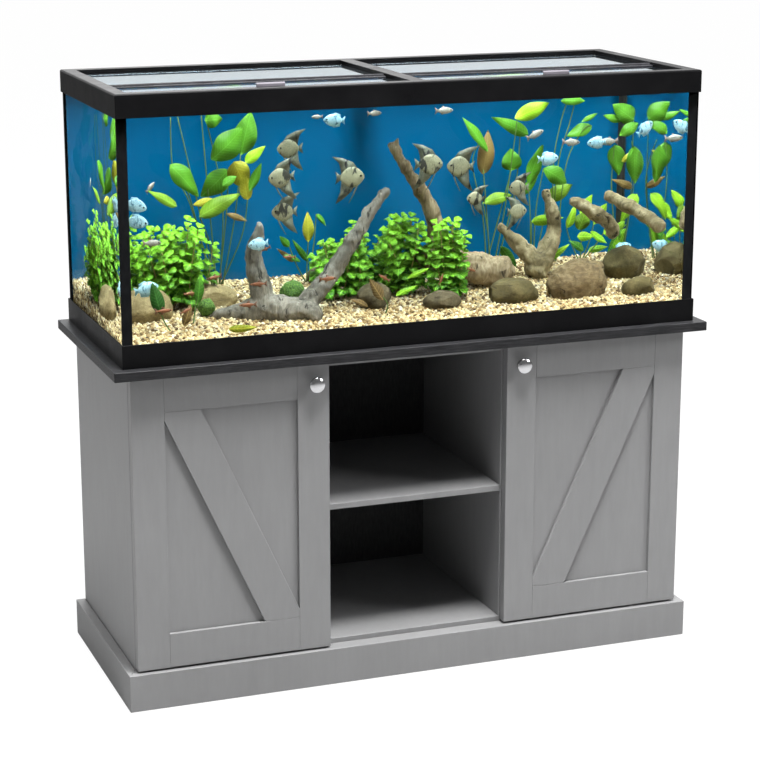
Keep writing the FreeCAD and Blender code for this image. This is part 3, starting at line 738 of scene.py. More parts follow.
# driftwood limbs: rows of x, y, z and radius
LIMBS = {
    "driftwood_left": [
        [(-402, -52, 764, 9), (-378, -62, 772, 13), (-300, -85, 780, 26), (-225, -108, 774, 26),
         (-199, -135, 766, 17)],
        [(-296, -85, 776, 26), (-311, -76, 861, 19), (-314, -75, 901, 17), (-303, -75, 940, 11),
         (-306, -75, 956, 5)],
        [(-232, -108, 770, 24), (-156, -76, 834, 18), (-122, -75, 884, 16), (-54, -75, 981, 12),
         (-32, -75, 1002, 8)],
    ],
    "driftwood_log": [
        [(62, 20, 842, 24), (110, 22, 832, 31), (160, 22, 822, 33), (258, 20, 800, 35)],
        [(100, 20, 845, 25), (104, 15, 902, 19), (80, 8, 963, 16), (42, 0, 1020, 14),
         (-5, -10, 1088, 10)],
        [(14, -4, 1060, 13), (6, -6, 1084, 8), (10, -6, 1102, 4)],
    ],
    "driftwood_right": [
        [(345, 62, 790, 29), (388, 70, 868, 17), (382, 70, 923, 14), (366, 70, 962, 9)],
        [(345, 62, 812, 23), (300, 70, 858, 17), (264, 76, 893, 8)],
        [(412, 15, 946, 9), (440, 16, 932, 13), (497, 18, 893, 15), (515, 18, 868, 13)],
        [(486, -10, 957, 10), (512, -36, 941, 14), (540, -65, 922, 15), (574, -122, 896, 15)],
    ],
    "tree_stump": [
        [(348, -95, 772, 42), (380, -98, 784, 50), (404, -95, 786, 50), (434, -95, 776, 38)],
        [(396, -90, 800, 30), (448, -70, 812, 15)],
    ],
}
# dark, middle and light of each finish
STONE_TINTS = {
    "tan": ((0.06, 0.042, 0.016), (0.20, 0.148, 0.065), (0.40, 0.31, 0.15)),
    "grey": ((0.024, 0.019, 0.010), (0.078, 0.062, 0.033), (0.18, 0.15, 0.09)),
    "olive": ((0.022, 0.017, 0.006), (0.078, 0.060, 0.022), (0.175, 0.14, 0.06)),
}
# material's name, its dark, middle and light, and the stretch and turn of the fibres
WOODS = {
    "driftwood_left": ("grey_driftwood", (0.055, 0.048, 0.036), (0.16, 0.145, 0.115),
                       (0.33, 0.30, 0.245)),
    "driftwood_log": ("tan_log", (0.06, 0.040, 0.020), (0.21, 0.155, 0.085), (0.40, 0.32, 0.20)),
    "driftwood_right": ("pale_branch", (0.06, 0.045, 0.020), (0.21, 0.165, 0.085),
                        (0.42, 0.35, 0.21), (0.4, 1, 0.4), (0, 0.7, 0)),
    "tree_stump": ("brown_stump", (0.045, 0.028, 0.012), (0.145, 0.10, 0.048),
                   (0.28, 0.21, 0.115), (0.5, 0.5, 1), (0.5, 0.3, 0)),
}
WORN_SIDES = 9  # flats worn on each boulder
# boulders: x, y, z, then half sizes and the finish
BOULDERS = [
    (-530, -20, 785, 58, 48, 45, "tan"), (-388, 45, 785, 62, 38, 34, "tan"),
    (-60, -72, 783, 38, 32, 32, "grey"), (-111, 150, 800, 36, 28, 30, "grey"),
    (78, -115, 772, 42, 28, 24, "grey"), (240, -105, 775, 58, 38, 34, "olive"),
    (524, -125, 768, 40, 30, 26, "olive"), (540, 20, 798, 50, 40, 42, "olive"),
]
MOSS = [(-222, -20, 796, 26), (-410, -48, 786, 17)]
# bushy plants: middle x, y, lowest z, spread across, spread in depth, height, stems
BUSHES = [
    (-452, 30, 780, 100, 60, 175, 20), (-560, 60, 790, 26, 60, 190, 11),
    (-40, 40, 780, 100, 44, 175, 13), (28, 10, 778, 64, 34, 210, 9),
    (112, -60, 768, 42, 22, 190, 9), (-112, 10, 776, 64, 30, 130, 7),
]
# large leaves' finishes: the material's name, old leaf darkened as painted shade and young leaf
# lightened as painted light, amount of spots
LEAF_TINTS = {
    "green": ("broad_green_leaf", (0.014, 0.075, 0.006), (0.075, 0.235, 0.010), 0.5),
    "deep": ("deep_green_leaf", (0.008, 0.045, 0.005), (0.028, 0.12, 0.008), 0.25),
    "lime": ("lime_leaf", (0.07, 0.24, 0.008), (0.27, 0.50, 0.015), 0.4),
    "olive": ("olive_leaf", (0.04, 0.11, 0.006), (0.15, 0.27, 0.012), 0.7),
    "yellow": ("yellowing_leaf", (0.13, 0.17, 0.008), (0.36, 0.33, 0.02), 0.9),
    "brown": ("brown_leaf", (0.06, 0.035, 0.012), (0.20, 0.13, 0.035), 0.8),
}
# large leaves: base, tip, width and finish
LEAVES = {
    "tall_left": [
        ((-444, 125, 1056), (-384, 125, 988), 39, "green"),
        ((-316, 150, 1037), (-374, 150, 984), 46, "green"),
        ((-359, 115, 1063), (-290, 115, 1124), 54, "green"),
        ((-287, 160, 1065), (-264, 160, 1152), 48, "green"),
        ((-366, 140, 1140), (-328, 140, 1142), 31, "green"),
        ((-388, 110, 949), (-298, 110, 993), 33, "olive"),
        ((-396, 130, 971), (-345, 130, 979), 17, "yellow"),
        ((-308, 135, 1054), (-280, 135, 995), 44, "yellow"),
        ((-291, 100, 1055), (-248, 100, 1087), 22, "lime"),
        ((-282, 105, 996), (-256, 105, 1052), 19, "green"),
        ((-283, 120, 976), (-291, 120, 1034), 26, "yellow"),
        ((-433, 120, 971), (-492, 120, 1007), 20, "olive"),
        ((-333, 100, 953), (-289, 100, 935), 13, "brown"),
        ((-342, 90, 1012), (-312, 90, 1030), 19, "green"),
    ],
    "small_rear": [
        ((-146, 150, 876), (-147, 150, 939), 24, "yellow"),
        ((-128, 150, 934), (-106, 150, 907), 11, "green"),
        ((-185, 160, 867), (-207, 160, 891), 15, "green"),
        ((-179, 150, 836), (-216, 150, 868), 11, "brown"),
        ((-146, 150, 834), (-181, 150, 883), 13, "green"),
        ((-129, 150, 832), (-95, 150, 881), 15, "olive"),
        ((-164, 150, 835), (-201, 150, 854), 11, "green"),
    ],
    "lily": [
        ((262, 165, 1044), (204, 165, 1120), 24, "green"),
        ((256, 180, 994), (269, 180, 1088), 37, "brown"),
        ((318, 145, 1114), (396, 145, 1143), 35, "lime"),
        ((360, 175, 1075), (274, 175, 1116), 28, "green"),
        ((318, 165, 1000), (315, 165, 1048), 44, "green"),
        ((252, 165, 933), (321, 165, 948), 26, "olive"),
        ((349, 135, 967), (378, 135, 1056), 33, "green"),
        ((377, 115, 1007), (434, 115, 971), 37, "green"),
        ((392, 130, 939), (451, 130, 966), 33, "olive"),
        ((344, 95, 896), (419, 95, 900), 22, "lime"),
        ((360, 75, 808), (430, 75, 843), 17, "lime"),
        ((276, 105, 845), (313, 105, 799), 22, "green"),
        ((344, 185, 940), (386, 185, 982), 20, "green"),
    ],
    "sword": [
        ((478, 150, 899), (506, 150, 939), 24, "lime"),
        ((439, 130, 871), (459, 130, 920), 20, "lime"),
        ((471, 140, 865), (487, 140, 906), 37, "olive"),
        ((507, 140, 874), (537, 140, 919), 24, "lime"),
        ((526, 125, 855), (579, 125, 871), 26, "lime"),
        ((493, 120, 862), (532, 120, 833), 17, "lime"),
        ((458, 110, 854), (499, 110, 852), 20, "lime"),
        ((480, 130, 819), (446, 130, 844), 17, "green"),
        ((496, 140, 817), (542, 140, 823), 15, "lime"),
    ],
    "tall_right": [
        ((418, 125, 1148), (476, 125, 1147), 20, "green"),
        ((494, 130, 1092), (435, 130, 1071), 28, "green"),
        ((468, 125, 1102), (505, 125, 1118), 11, "green"),
        ((585, 105, 1103), (533, 105, 1138), 41, "green"),
        ((558, 105, 1102), (510, 105, 1115), 17, "green"),
        ((545, 85, 1072), (590, 85, 1098), 26, "green"),
        ((572, 65, 1050), (578, 65, 968), 38, "green"),
        ((540, 105, 1050), (552, 105, 984), 37, "green"),
        ((550, 80, 1016), (583, 80, 1038), 15, "yellow"),
        ((586, 105, 955), (538, 105, 975), 17, "brown"),
        ((586, 75, 944), (545, 65, 885), 28, "lime"),
        ((549, 45, 891), (510, 45, 862), 15, "lime"),
        ((572, 105, 866), (548, 105, 813), 20, "lime"),
        ((560, 105, 865), (528, 105, 809), 14, "green"),
        ((538, 85, 812), (546, 85, 853), 14, "lime"),
    ],
    "front": [
        ((-443, -120, 806), (-436, -120, 862), 19, "green"),
        ((-526, -165, 800), (-541, -160, 862), 26, "deep"),
        ((4, -100, 823), (52, -104, 842), 11, "lime"),
        ((-34, -150, 797), (14, -150, 815), 12, "lime"),
        ((-62, -152, 790), (-92, -152, 836), 22, "brown"),
        ((-100, -170, 782), (-134, -168, 800), 13, "brown"),
        ((-478, -150, 770), (-462, -150, 812), 17, "brown"),
        ((-395, -190, 763), (-338, -198, 763), 15, "yellow"),
    ],
}
# petioles: the plant's foot, then points to each leaf
PETIOLES = {
    "tall_left": [
        [(-352, 150, 800), (-398, 150, 969), (-433, 145, 1043), (-437, 140, 1150)],
        [(-350, 150, 800), (-385, 146, 979), (-422, 142, 1150)],
        [(-346, 150, 800), (-361, 148, 998), (-372, 145, 1150)],
        [(-339, 150, 800), (-330, 150, 975), (-362, 145, 1142)],
        [(-356, 150, 800), (-405, 140, 1000), (-444, 125, 1056)],
        [(-333, 150, 800), (-301, 155, 949), (-288, 158, 1065)],
        [(-341, 150, 800), (-322, 150, 946), (-316, 150, 1037)],
        [(-345, 148, 800), (-366, 130, 900), (-388, 110, 949)],
        [(-337, 148, 800), (-296, 125, 900), (-283, 120, 976)],
    ],
    "small_rear": [[(-150, 150, 792), (-149, 150, 840), (-146, 150, 876)],
                   [(-148, 150, 792), (-134, 150, 870), (-128, 150, 934)],
                   [(-153, 150, 792), (-172, 154, 830), (-185, 160, 867)]],
    "lily": [
        [(262, 165, 800), (252, 165, 907), (228, 165, 1016), (240, 165, 1060)],
        [(271, 165, 800), (261, 168, 928), (256, 176, 1004)],
        [(281, 165, 800), (305, 160, 936), (324, 145, 1114)],
        [(288, 165, 800), (328, 168, 957), (341, 175, 1080)],
        [(262, 165, 800), (294, 165, 915), (318, 165, 1000)],
        [(270, 160, 800), (262, 160, 880), (252, 165, 933)],
        [(352, 120, 800), (352, 128, 900), (349, 135, 967)],
        [(358, 120, 800), (362, 118, 920), (377, 115, 1007)],
        [(362, 120, 800), (380, 125, 880), (392, 130, 939)],
        [(350, 110, 800), (346, 100, 860), (344, 95, 896)],
    ],
    "sword": [[(480, 150, 795), (482, 150, 857), (478, 150, 899)],
              [(476, 148, 795), (452, 138, 840), (439, 130, 871)],
              [(484, 148, 795), (500, 144, 840), (507, 140, 874)],
              [(486, 148, 795), (512, 135, 830), (526, 125, 855)]],
    "tall_right": [
        [(560, 105, 795), (582, 105, 925), (584, 105, 1103)],
        [(556, 105, 795), (536, 105, 948), (540, 105, 1050)],
        [(564, 105, 795), (588, 100, 968), (572, 80, 1060)],
        [(404, 128, 800), (414, 128, 1002), (440, 128, 1098), (453, 126, 1150)],
        [(410, 128, 800), (404, 128, 1002), (418, 126, 1098), (434, 125, 1150)],
        [(414, 128, 800), (432, 128, 1000), (470, 128, 1080), (494, 130, 1092)],
    ],
    "front": [[(-452, -120, 768), (-446, -120, 806), (-440, -120, 830)],
              [(-56, -150, 762), (-52, -152, 780), (-62, -152, 796)],
              [(-505, -150, 762), (-516, -158, 778), (-528, -165, 806)]],
}
# fish: nose-to-tail middle x, y, z, length, turn from +X and tilt in degrees
GOURAMIS = [
    (-127, 0, 1143, 50, 180, 4), (-549, -150, 849, 54, 4, 10), (-319, -125, 918, 46, 178, -6),
    (-566, -150, 1013, 50, -12, -22), (-562, -140, 980, 50, 0, -18), (330, -60, 1048, 52, 2, 2),
    (560, -40, 1099, 50, 12, 34), (556, 78, 826, 50, 0, 18), (470, 30, 1066, 48, 175, -4),
]
TETRAS = [
    (339, 60, 1087, 46, 3, 22), (423, 60, 1066, 46, 2, -4), (522, 100, 1059, 50, 178, 0),
    (-480, 150, 1010, 32, 30, 40), (-536, -150, 938, 40, 0, 0), (-160, 10, 1150, 26, 178, 0),
    (-30, 30, 1150, 34, 4, 0), (120, 20, 1150, 44, 2, 0),
]
ANGELS = [
    (-222, 0, 1090, 58, 180, 0), (-250, -40, 1037, 60, 180, -4), (-240, -20, 965, 58, 180, 0),
    (-100, -40, 1030, 66, 0, 0), (64, -62, 1050, 66, 0, -2), (160, 40, 1030, 66, 180, 4),
    (300, 60, 975, 50, 178, 0), (300, 60, 925, 50, 4, 0), (221, 120, 950, 46, 184, 6),
]
RASBORAS = [
    (-520, -170, 806, 40, 8, 0), (-437, -20, 812, 36, 184, 0), (-345, -140, 800, 40, 180, 0),
    (-319, -125, 838, 38, 178, 0), (-168, -110, 836, 42, 4, 0), (-383, 0, 838, 36, 190, -8),
    (-60, -150, 836, 30, 170, 30), (-480, -190, 806, 30, 6, 20), (62, -160, 826, 28, 30, 60),
    (132, -150, 838, 28, 20, -20), (-210, 60, 860, 30, 180, 4), (-262, 60, 880, 28, 170, -20),
]


# ------------------------------------------------------------------ operators
class BoardsOperator(bpy.types.Operator):
    """Paints the cabinet's boards and rounds their edges."""

    bl_idname = "aquarium.boards"
    bl_label = "Cabinet Boards"

    def execute(self, context):
        settings = context.scene.cabinet_settings
        paint = paint_material(settings.paint)
        for node in ("front_plinth", "side_plinths", "centre_shelf", "cabinet_floor",
                     *both("side_panel", "divider", "door_stiles", "door_rails", "door_brace")):
            rounded(node, settings.edge, paint, "grey_paint")
        recoat(paint, "rear_plinth", "top_rails", "floor_supports", *both("door_panel"))
        recoat(board_material(), "centre_back_panel", "side_back_panels")
        rounded("stand_top", settings.edge * TOP_EDGE, laminate_material(settings.laminate),
                "black_woodgrain")
        return {"FINISHED"}


class HardwareOperator(bpy.types.Operator):
    """Turns the door knobs and plates the hinges, pins and screws."""

    bl_idname = "aquarium.hardware"
    bl_label = "Knobs and Hinges"

    def execute(self, context):
        steel = metal_material("zinc_steel", (0.60, 0.60, 0.61), 0.28, 0.46)
        chrome = metal_material("polished_knob", (0.70, 0.70, 0.71), 0.15, 0.27, (1, 40, 1))
        recoat(steel, "shelf_pins", "top_screws", "hinge_arms", *both("hinge_cups", "hinge_pin"))
        for word in SIDES:
            low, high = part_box(f"{word}_knob")
            centre = (low + high) / 2
            face = low.y + KNOB_PROFILE[-1][1] / 1000
            shape = bmesh.new()
            rim = [shape.verts.new((centre.x + r / 1000, face - z / 1000, centre.z))
                   for r, z in KNOB_PROFILE]
            edges = [shape.edges.new(pair) for pair in zip(rim, rim[1:])]
            bmesh.ops.spin(shape, geom=rim + edges, cent=(centre.x, 0, centre.z), axis=(0, 1, 0),
                           angle=2 * math.pi, steps=48)
            bmesh.ops.remove_doubles(shape, verts=shape.verts, dist=1e-6)
            bmesh.ops.recalc_face_normals(shape, faces=shape.faces)
            shown(f"{word}_turned_knob", shape, chrome, f"{word}_door", "polished_chrome",
                  f"{word}_knob")
        return {"FINISHED"}


class TrimOperator(bpy.types.Operator):
    """Moulds the frames, hinge strips, tabs and seals and hangs the blue film."""

    bl_idname = "aquarium.trim"
    bl_label = "Tank Trim"

    def execute(self, context):
        settings = context.scene.tank_settings
        trim = moulded_material("satin_black_trim", settings.trim, 0.34)
        for node in ("base_frame", "top_frame"):
            rounded(node, TRIM_EDGE, trim, "black_trim")
        strip = moulded_material("hinge_strip", (0.030, 0.030, 0.033), 0.26)
        recoat(strip, *both("rear_leaf", "front_leaf"))
        tab = moulded_material("lid_tab", (0.17, 0.16, 0.18), 0.4)
        for node in both("lid_tab"):
            rounded(node, TAB_EDGE, tab, "grey_tab")
        recoat(sealant_material(), "corner_seals")
        low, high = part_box("background_film")
        gap = Vector((0, 0.0002, 0))
        block("blue_background", low + gap, high + gap, film_material(settings.film), "stand",
              "blue_film", "background_film")
        return {"FINISHED"}


class GlazingOperator(bpy.types.Operator):
    """Glazes the tank and its lids."""

    bl_idname = "aquarium.glazing"
    bl_label = "Glass"

    def execute(self, context):
        recoat(clear_material("tank_glass", (0.975, 0.99, 0.985), bend=1.5),
               "bottom_glass", "front_glass", "back_glass", *both("glass"))
        recoat(clear_material("lid_glass", (0.86, 0.92, 0.95), bend=1.5, mirror="all"),
               *both("rear_pane", "front_pane"))
        recoat(clear_material("clear_vinyl", (0.80, 0.86, 0.90), bend=1.45, roughness=0.25,
                              mirror="all"), *both("back_strip"))
        return {"FINISHED"}


class WaterOperator(bpy.types.Operator):
    """Fills the tank with water."""

    bl_idname = "aquarium.water"
    bl_label = "Water"

    def execute(self, context):
        settings = context.scene.tank_settings
        front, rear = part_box("front_glass")[1].y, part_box("back_glass")[0].y
        left_low, left_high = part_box("left_glass")
        play = settings.play
        low = (left_high.x + play, front + play, left_low.z + BOTTOM)
        high = (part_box("right_glass")[0].x - play, rear - play, settings.level)
        water = clear_material("water", (0.985, 0.995, 1.0), bend=1.33, mirror="inside")
        block("water", low, high, water, "stand", None)
        return {"FINISHED"}


class GravelOperator(bpy.types.Operator):
    """Lays the gravel: an uneven bed with pebbles scattered over it."""

    bl_idname = "aquarium.gravel"
    bl_label = "Gravel"

    def execute(self, context):
        settings = context.scene.gravel_settings
        low, high = BED_LOW + BED_PLAY, BED_HIGH - BED_PLAY
        across, deep, sunk = 150, 56, 0.004
        shape = bmesh.new()
        rows = []
        for j in range(deep + 1):
            y = low.y + (high.y - low.y) * j / deep
            row = []
            for i in range(across + 1):
                x = low.x + (high.x - low.x) * i / across
                hump = sunk * noise.fractal(Vector((x * 14, y * 14, 3)), 0.8, 2.1, 3)
                row.append(shape.verts.new((x, y, bed_level(y) - sunk + hump)))
            rows.append(row)
        for front, back in zip(rows, rows[1:]):
            for i in range(across):
                shape.faces.new((front[i], front[i + 1], back[i + 1], back[i]))
        scatter = shape.copy()
        wall = bmesh.ops.extrude_edge_only(shape, edges=[e for e in shape.edges if e.is_boundary])
        foot = [g for g in wall["geom"] if isinstance(g, bmesh.types.BMVert)]
        for vert in foot:
            vert.co.z = BED_LOW.z + 0.0006
        bmesh.ops.contextual_create(shape, geom=[e for e in shape.edges if e.is_boundary])
        bmesh.ops.recalc_face_normals(shape, faces=shape.faces)
        shown("gravel_under", shape, pebble_material(False), "stand", "gravel", "gravel_bed")
        foot, rim, middle, tile = 0.746, 0.005, -0.03, 0.001
        for end in (low.x, high.x):
            side = [(end, low.y, foot), (end, high.y, foot),
                    (end, high.y, bed_level(high.y) - rim),
                    (end, low.y, bed_level(low.y) - rim)]
            scatter.faces.new([scatter.verts.new(p) for p in side])
        coat = pebble_material()
        tree = pebble_tree()
        for part, front in (("front", True), ("rear", False)):
            half = scatter.copy()
            away = []
            for face in half.faces:
                ahead = face.calc_area() > tile or face.calc_center_median().y < middle
                if ahead != front:
                    away.append(face)
            bmesh.ops.delete(half, geom=away, context="FACES")
            made = tree.run(baked("gravel_area", half), Size=settings.pebble,
                            Spacing=settings.spacing, Seed=settings.seed + front, Coat=coat)
            dressed(f"pebbles_{part}", made, coat, "stand", "gravel")
        scatter.free()
        return {"FINISHED"}


class StonesOperator(bpy.types.Operator):
    """Shapes the river stones."""

    bl_idname = "aquarium.stones"
    bl_label = "Stones"

    def execute(self, context):
        coats = {word: stone_material(f"{word}_stone", *tints)
                 for word, tints in STONE_TINTS.items()}
        for index, (x, y, z, across, deep, tall, finish) in enumerate(BOULDERS):
            chance = random.Random(index)
            shape = bmesh.new()
            bmesh.ops.create_icosphere(shape, subdivisions=5, radius=1)
            for _ in range(WORN_SIDES):
                flat = Vector(chance.gauss(0, 1) for _ in range(3)).normalized()
                level = chance.uniform(0.80, 0.93)
                for vert in shape.verts:
                    over = vert.co.dot(flat) - level
                    if over > 0:
                        vert.co -= flat * over * 0.85
            for vert in shape.verts:
                vert.co = Vector((x + vert.co.x * across, y + vert.co.y * deep,
                                  z + vert.co.z * tall)) / 1000
            roughen(shape, amount=0.0034, scale=26, seed=index + 1, octaves=5)
            nodes = ("river_stones",) if index == 0 else ()
            shown(f"river_stone_{index + 1}", shape, coats[finish], "stand", "river_stone", *nodes)
        return {"FINISHED"}


class DriftwoodOperator(bpy.types.Operator):
    """Grows the driftwood: limbs run together, knotted and split."""

    bl_idname = "aquarium.driftwood"
    bl_label = "Driftwood"

    def execute(self, context):
        coats = {node: wood_material(*facts) for node, facts in WOODS.items()}
        for index, (node, limbs) in enumerate(LIMBS.items()):
            shape = bmesh.new()
            for number, limb in enumerate(limbs):
                path = eased(metres(limb), steps=8)
                swell = [1 + 0.16 * noise.noise(Vector((number * 5, i * 0.55, index)))
                         for i in range(len(path))]
                knots = [(*p[:3], p[3] * wide) for p, wide in zip(path, swell)]
                first, last = Vector(knots[0][:3]), Vector(knots[-1][:3])
                start = (first - Vector(knots[1][:3])).normalized() * knots[0][3] * 0.5
                end = (last - Vector(knots[-2][:3])).normalized() * knots[-1][3] * 0.5
                knots = [(*(first + start), knots[0][3] * 0.62)] + knots + [
                    (*(last + end), knots[-1][3] * 0.55)]
                tube(shape, knots, sides=20)
            rough = placed("limbs", baked("limbs", shape))
            remesh = rough.modifiers.new("run_together", "REMESH")
            remesh.mode, remesh.voxel_size = "VOXEL", 0.0034
            rough.modifiers.new("soften", "SMOOTH").iterations = 4
            shape = bmesh.new()
            shape.from_mesh(worked(rough))
            roughen(shape, amount=0.0048, scale=34, seed=index + 4, octaves=3)
            roughen(shape, amount=0.0013, scale=150, seed=index + 8, octaves=3)
            shown(f"{node}_wood", shape, coats[node], "stand", "driftwood", node)
        return {"FINISHED"}


class MossOperator(bpy.types.Operator):
    """Rolls the moss balls."""

    bl_idname = "aquarium.moss"
    bl_label = "Moss Balls"

    def execute(self, context):
        coat = moss_material()
        for index, (x, y, z, radius) in enumerate(MOSS):
            chance = random.Random(index)
            shape = bmesh.new()
            bmesh.ops.create_icosphere(shape, subdivisions=5, radius=radius / 1000)
            for vert in shape.verts:
                vert.co = vert.co * (1 + chance.uniform(-0.05, 0.06)) + Vector((x, y, z)) / 1000
            roughen(shape, amount=0.002, scale=70, seed=index)
            nodes = ("moss_balls",) if index == 0 else ()
            shown(f"moss_ball_{index + 1}", shape, coat, "stand", "moss", *nodes)
        return {"FINISHED"}


class BushesOperator(bpy.types.Operator):
    """Plants the bushy stems with their round leaves."""

    bl_idname = "aquarium.bushes"
    bl_label = "Bushy Plants"

    def execute(self, context):
        settings = context.scene.plant_settings
        whorl = bmesh.new()
        size = settings.leaf
        for k in range(3):
            turn = 2 * math.pi * k / 3 + 0.4 * k
            way = Vector((math.cos(turn), math.sin(turn), 0))
            start = way * 0.003 + Vector((0, 0, 0.001))
            blade(whorl, start, way * (size + 0.003) + Vector((0, 0, size * (0.34 - 0.17 * k))),
                  size * 0.98, (-way.x * 0.3, -way.y * 0.3, 1), droop=0.25, widest=0.5,
                  fold=0.14, steps=4)
        mesh = baked("whorl", whorl)
        mesh.polygons.foreach_set("use_smooth", [True] * len(mesh.polygons))
        model = placed("whorl", mesh)
        leaf = leaf_material("bush_leaf", settings.old_and_shaded, settings.young_and_lit, level=(0.80, 0.98))
        stem = leaf_material("bush_stem", (0.10, 0.05, 0.015), (0.26, 0.22, 0.05), spots=0.0)
        tree = stem_tree()
        for index, (x, y, z, across, deep, tall, count) in enumerate(BUSHES):
            chance = random.Random(settings.seed + index)
            shape = bmesh.new()
            for _ in range(count):
                angle, reach = chance.uniform(0, 2 * math.pi), chance.uniform(0, 1) ** 0.5
                dx, dy = math.cos(angle) * reach, math.sin(angle) * reach
                high = tall * (1 - 0.35 * reach * reach) * chance.uniform(0.6, 1.05)
                line = [(x + dx * across * 0.45, y + dy * deep * 0.45, z),
                        (x + dx * across * 0.75 + chance.gauss(0, 5), y + dy * deep * 0.75,
                         z + high * 0.5),
                        (x + dx * across + chance.gauss(0, 7), y + dy * deep, z + high)]
                spots = [shape.verts.new(p) for p in eased(metres(line), steps=4)]
                for pair in zip(spots, spots[1:]):
                    shape.edges.new(pair)
            made = tree.run(baked("stems", shape), Leaves=model, Step=0.0175, Stem=0.0011,
                            Seed=index, Leaf_Coat=leaf, Stem_Coat=stem)
            nodes = ("water_plants",) if index == 0 else ()
            dressed(f"bush_{index + 1}", made, (leaf, stem), "stand", "leaf_green", *nodes)
        bpy.data.objects.remove(model)
        return {"FINISHED"}


class LeavesOperator(bpy.types.Operator):
    """Sets the large leaves on their long stalks."""

    bl_idname = "aquarium.leaves"
    bl_label = "Large Leaves"

    def execute(self, context):
        coats = {finish: leaf_material(*facts) for finish, facts in LEAF_TINTS.items()}
        stalk = leaf_material("stalk", (0.012, 0.035, 0.005), (0.055, 0.11, 0.012), spots=0.5)
        order = list(coats)
        for plant, leaves in LEAVES.items():
            chance = random.Random(plant)
            shape = bmesh.new()
            for base, tip, width, finish in leaves:
                facing = (chance.uniform(-0.35, 0.35), -1, chance.uniform(0.0, 0.5))
                blade(shape, Vector(base) / 1000, Vector(tip) / 1000, width / 1000, facing,
                      droop=chance.uniform(-0.16, 0.22), widest=chance.uniform(0.36, 0.5),
                      fold=chance.uniform(0.05, 0.30), steps=14, material=order.index(finish))
            for line in PETIOLES[plant]:
                path = eased([(*p, 1.5 - 0.5 * i / len(line)) for i, p in enumerate(line)],
                             steps=6)
                tube(shape, metres(path), sides=6, material=len(order))
            shown(f"plant_{plant}", shape, (*coats.values(), stalk), "stand", "leaf_green")
        return {"FINISHED"}


def fish_shape(shape, x, y, z, span, turn, tilt, girth, thick, fins):
    """Adds one fish: a lofted body, its fins and its eyes."""
    matrix = (Matrix.Translation(Vector((x, y, z)) / 1000)
              @ Matrix.Rotation(math.radians(turn), 4, "Z")
              @ Matrix.Rotation(-math.radians(tilt), 4, "Y"))
    size, sides, steps = span / 1000, 14, 12
    rings = []
    for i in range(steps + 1):
        t = i / steps
        tall = girth * size * max(0.05, math.sin(math.pi * min(1, t * 0.93 + 0.03)) ** 0.75)
        wide = thick * size * max(0.06, math.sin(math.pi * min(1, t * 0.90 + 0.06)) ** 0.8)
        middle = 0.42 - 0.78 * t
        rings.append([shape.verts.new(matrix @ Vector((
            middle * size, math.sin(a) * wide / 2, math.cos(a) * tall / 2)))
            for a in turns(sides)])
    lofted(shape, rings)
    for rim in fins:
        plate(shape, [(a * size, b * size) for a, b in rim], 0.0005, matrix, 1)
    for side in (-1, 1):
        spot = matrix @ Vector((0.30 * size, side * thick * size * 0.30, 0.05 * girth * size))
        ball = bmesh.ops.create_icosphere(shape, subdivisions=2, radius=size * 0.035,
                                          matrix=Matrix.Translation(spot))
        for face in {f for v in ball["verts"] for f in v.link_faces}:
            face.material_index = 2


TAIL = [(-0.33, 0.05), (-0.5, 0.17), (-0.46, 0.0), (-0.5, -0.17), (-0.33, -0.05)]
LOW_FINS = [TAIL, [(0.12, 0.18), (-0.05, 0.30), (-0.28, 0.24), (-0.30, 0.08), (-0.1, 0.12)],
            [(0.14, -0.18), (-0.02, -0.30), (-0.28, -0.25), (-0.31, -0.06), (-0.1, -0.12)]]
SLIM_FINS = [TAIL, [(0.06, 0.10), (-0.06, 0.21), (-0.14, 0.19), (-0.10, 0.07)],
             [(0.02, -0.10), (-0.10, -0.19), (-0.20, -0.16), (-0.16, -0.05)]]
TALL_FINS = [
    [(-0.33, 0.06), (-0.52, 0.20), (-0.47, 0.0), (-0.52, -0.20), (-0.33, -0.06)],
    [(0.22, 0.24), (0.06, 0.46), (-0.26, 0.60), (-0.62, 0.66), (-0.40, 0.46), (-0.34, 0.24),
     (-0.32, 0.06), (0.0, 0.20)],
    [(0.12, -0.26), (-0.02, -0.46), (-0.26, -0.66), (-0.52, -0.80), (-0.36, -0.44), (-0.33, -0.20),
     (-0.32, -0.06), (0.0, -0.20)],
    [(0.22, -0.26), (0.10, -0.52), (-0.06, -0.78), (-0.10, -0.80), (0.06, -0.50), (0.16, -0.26)],
]


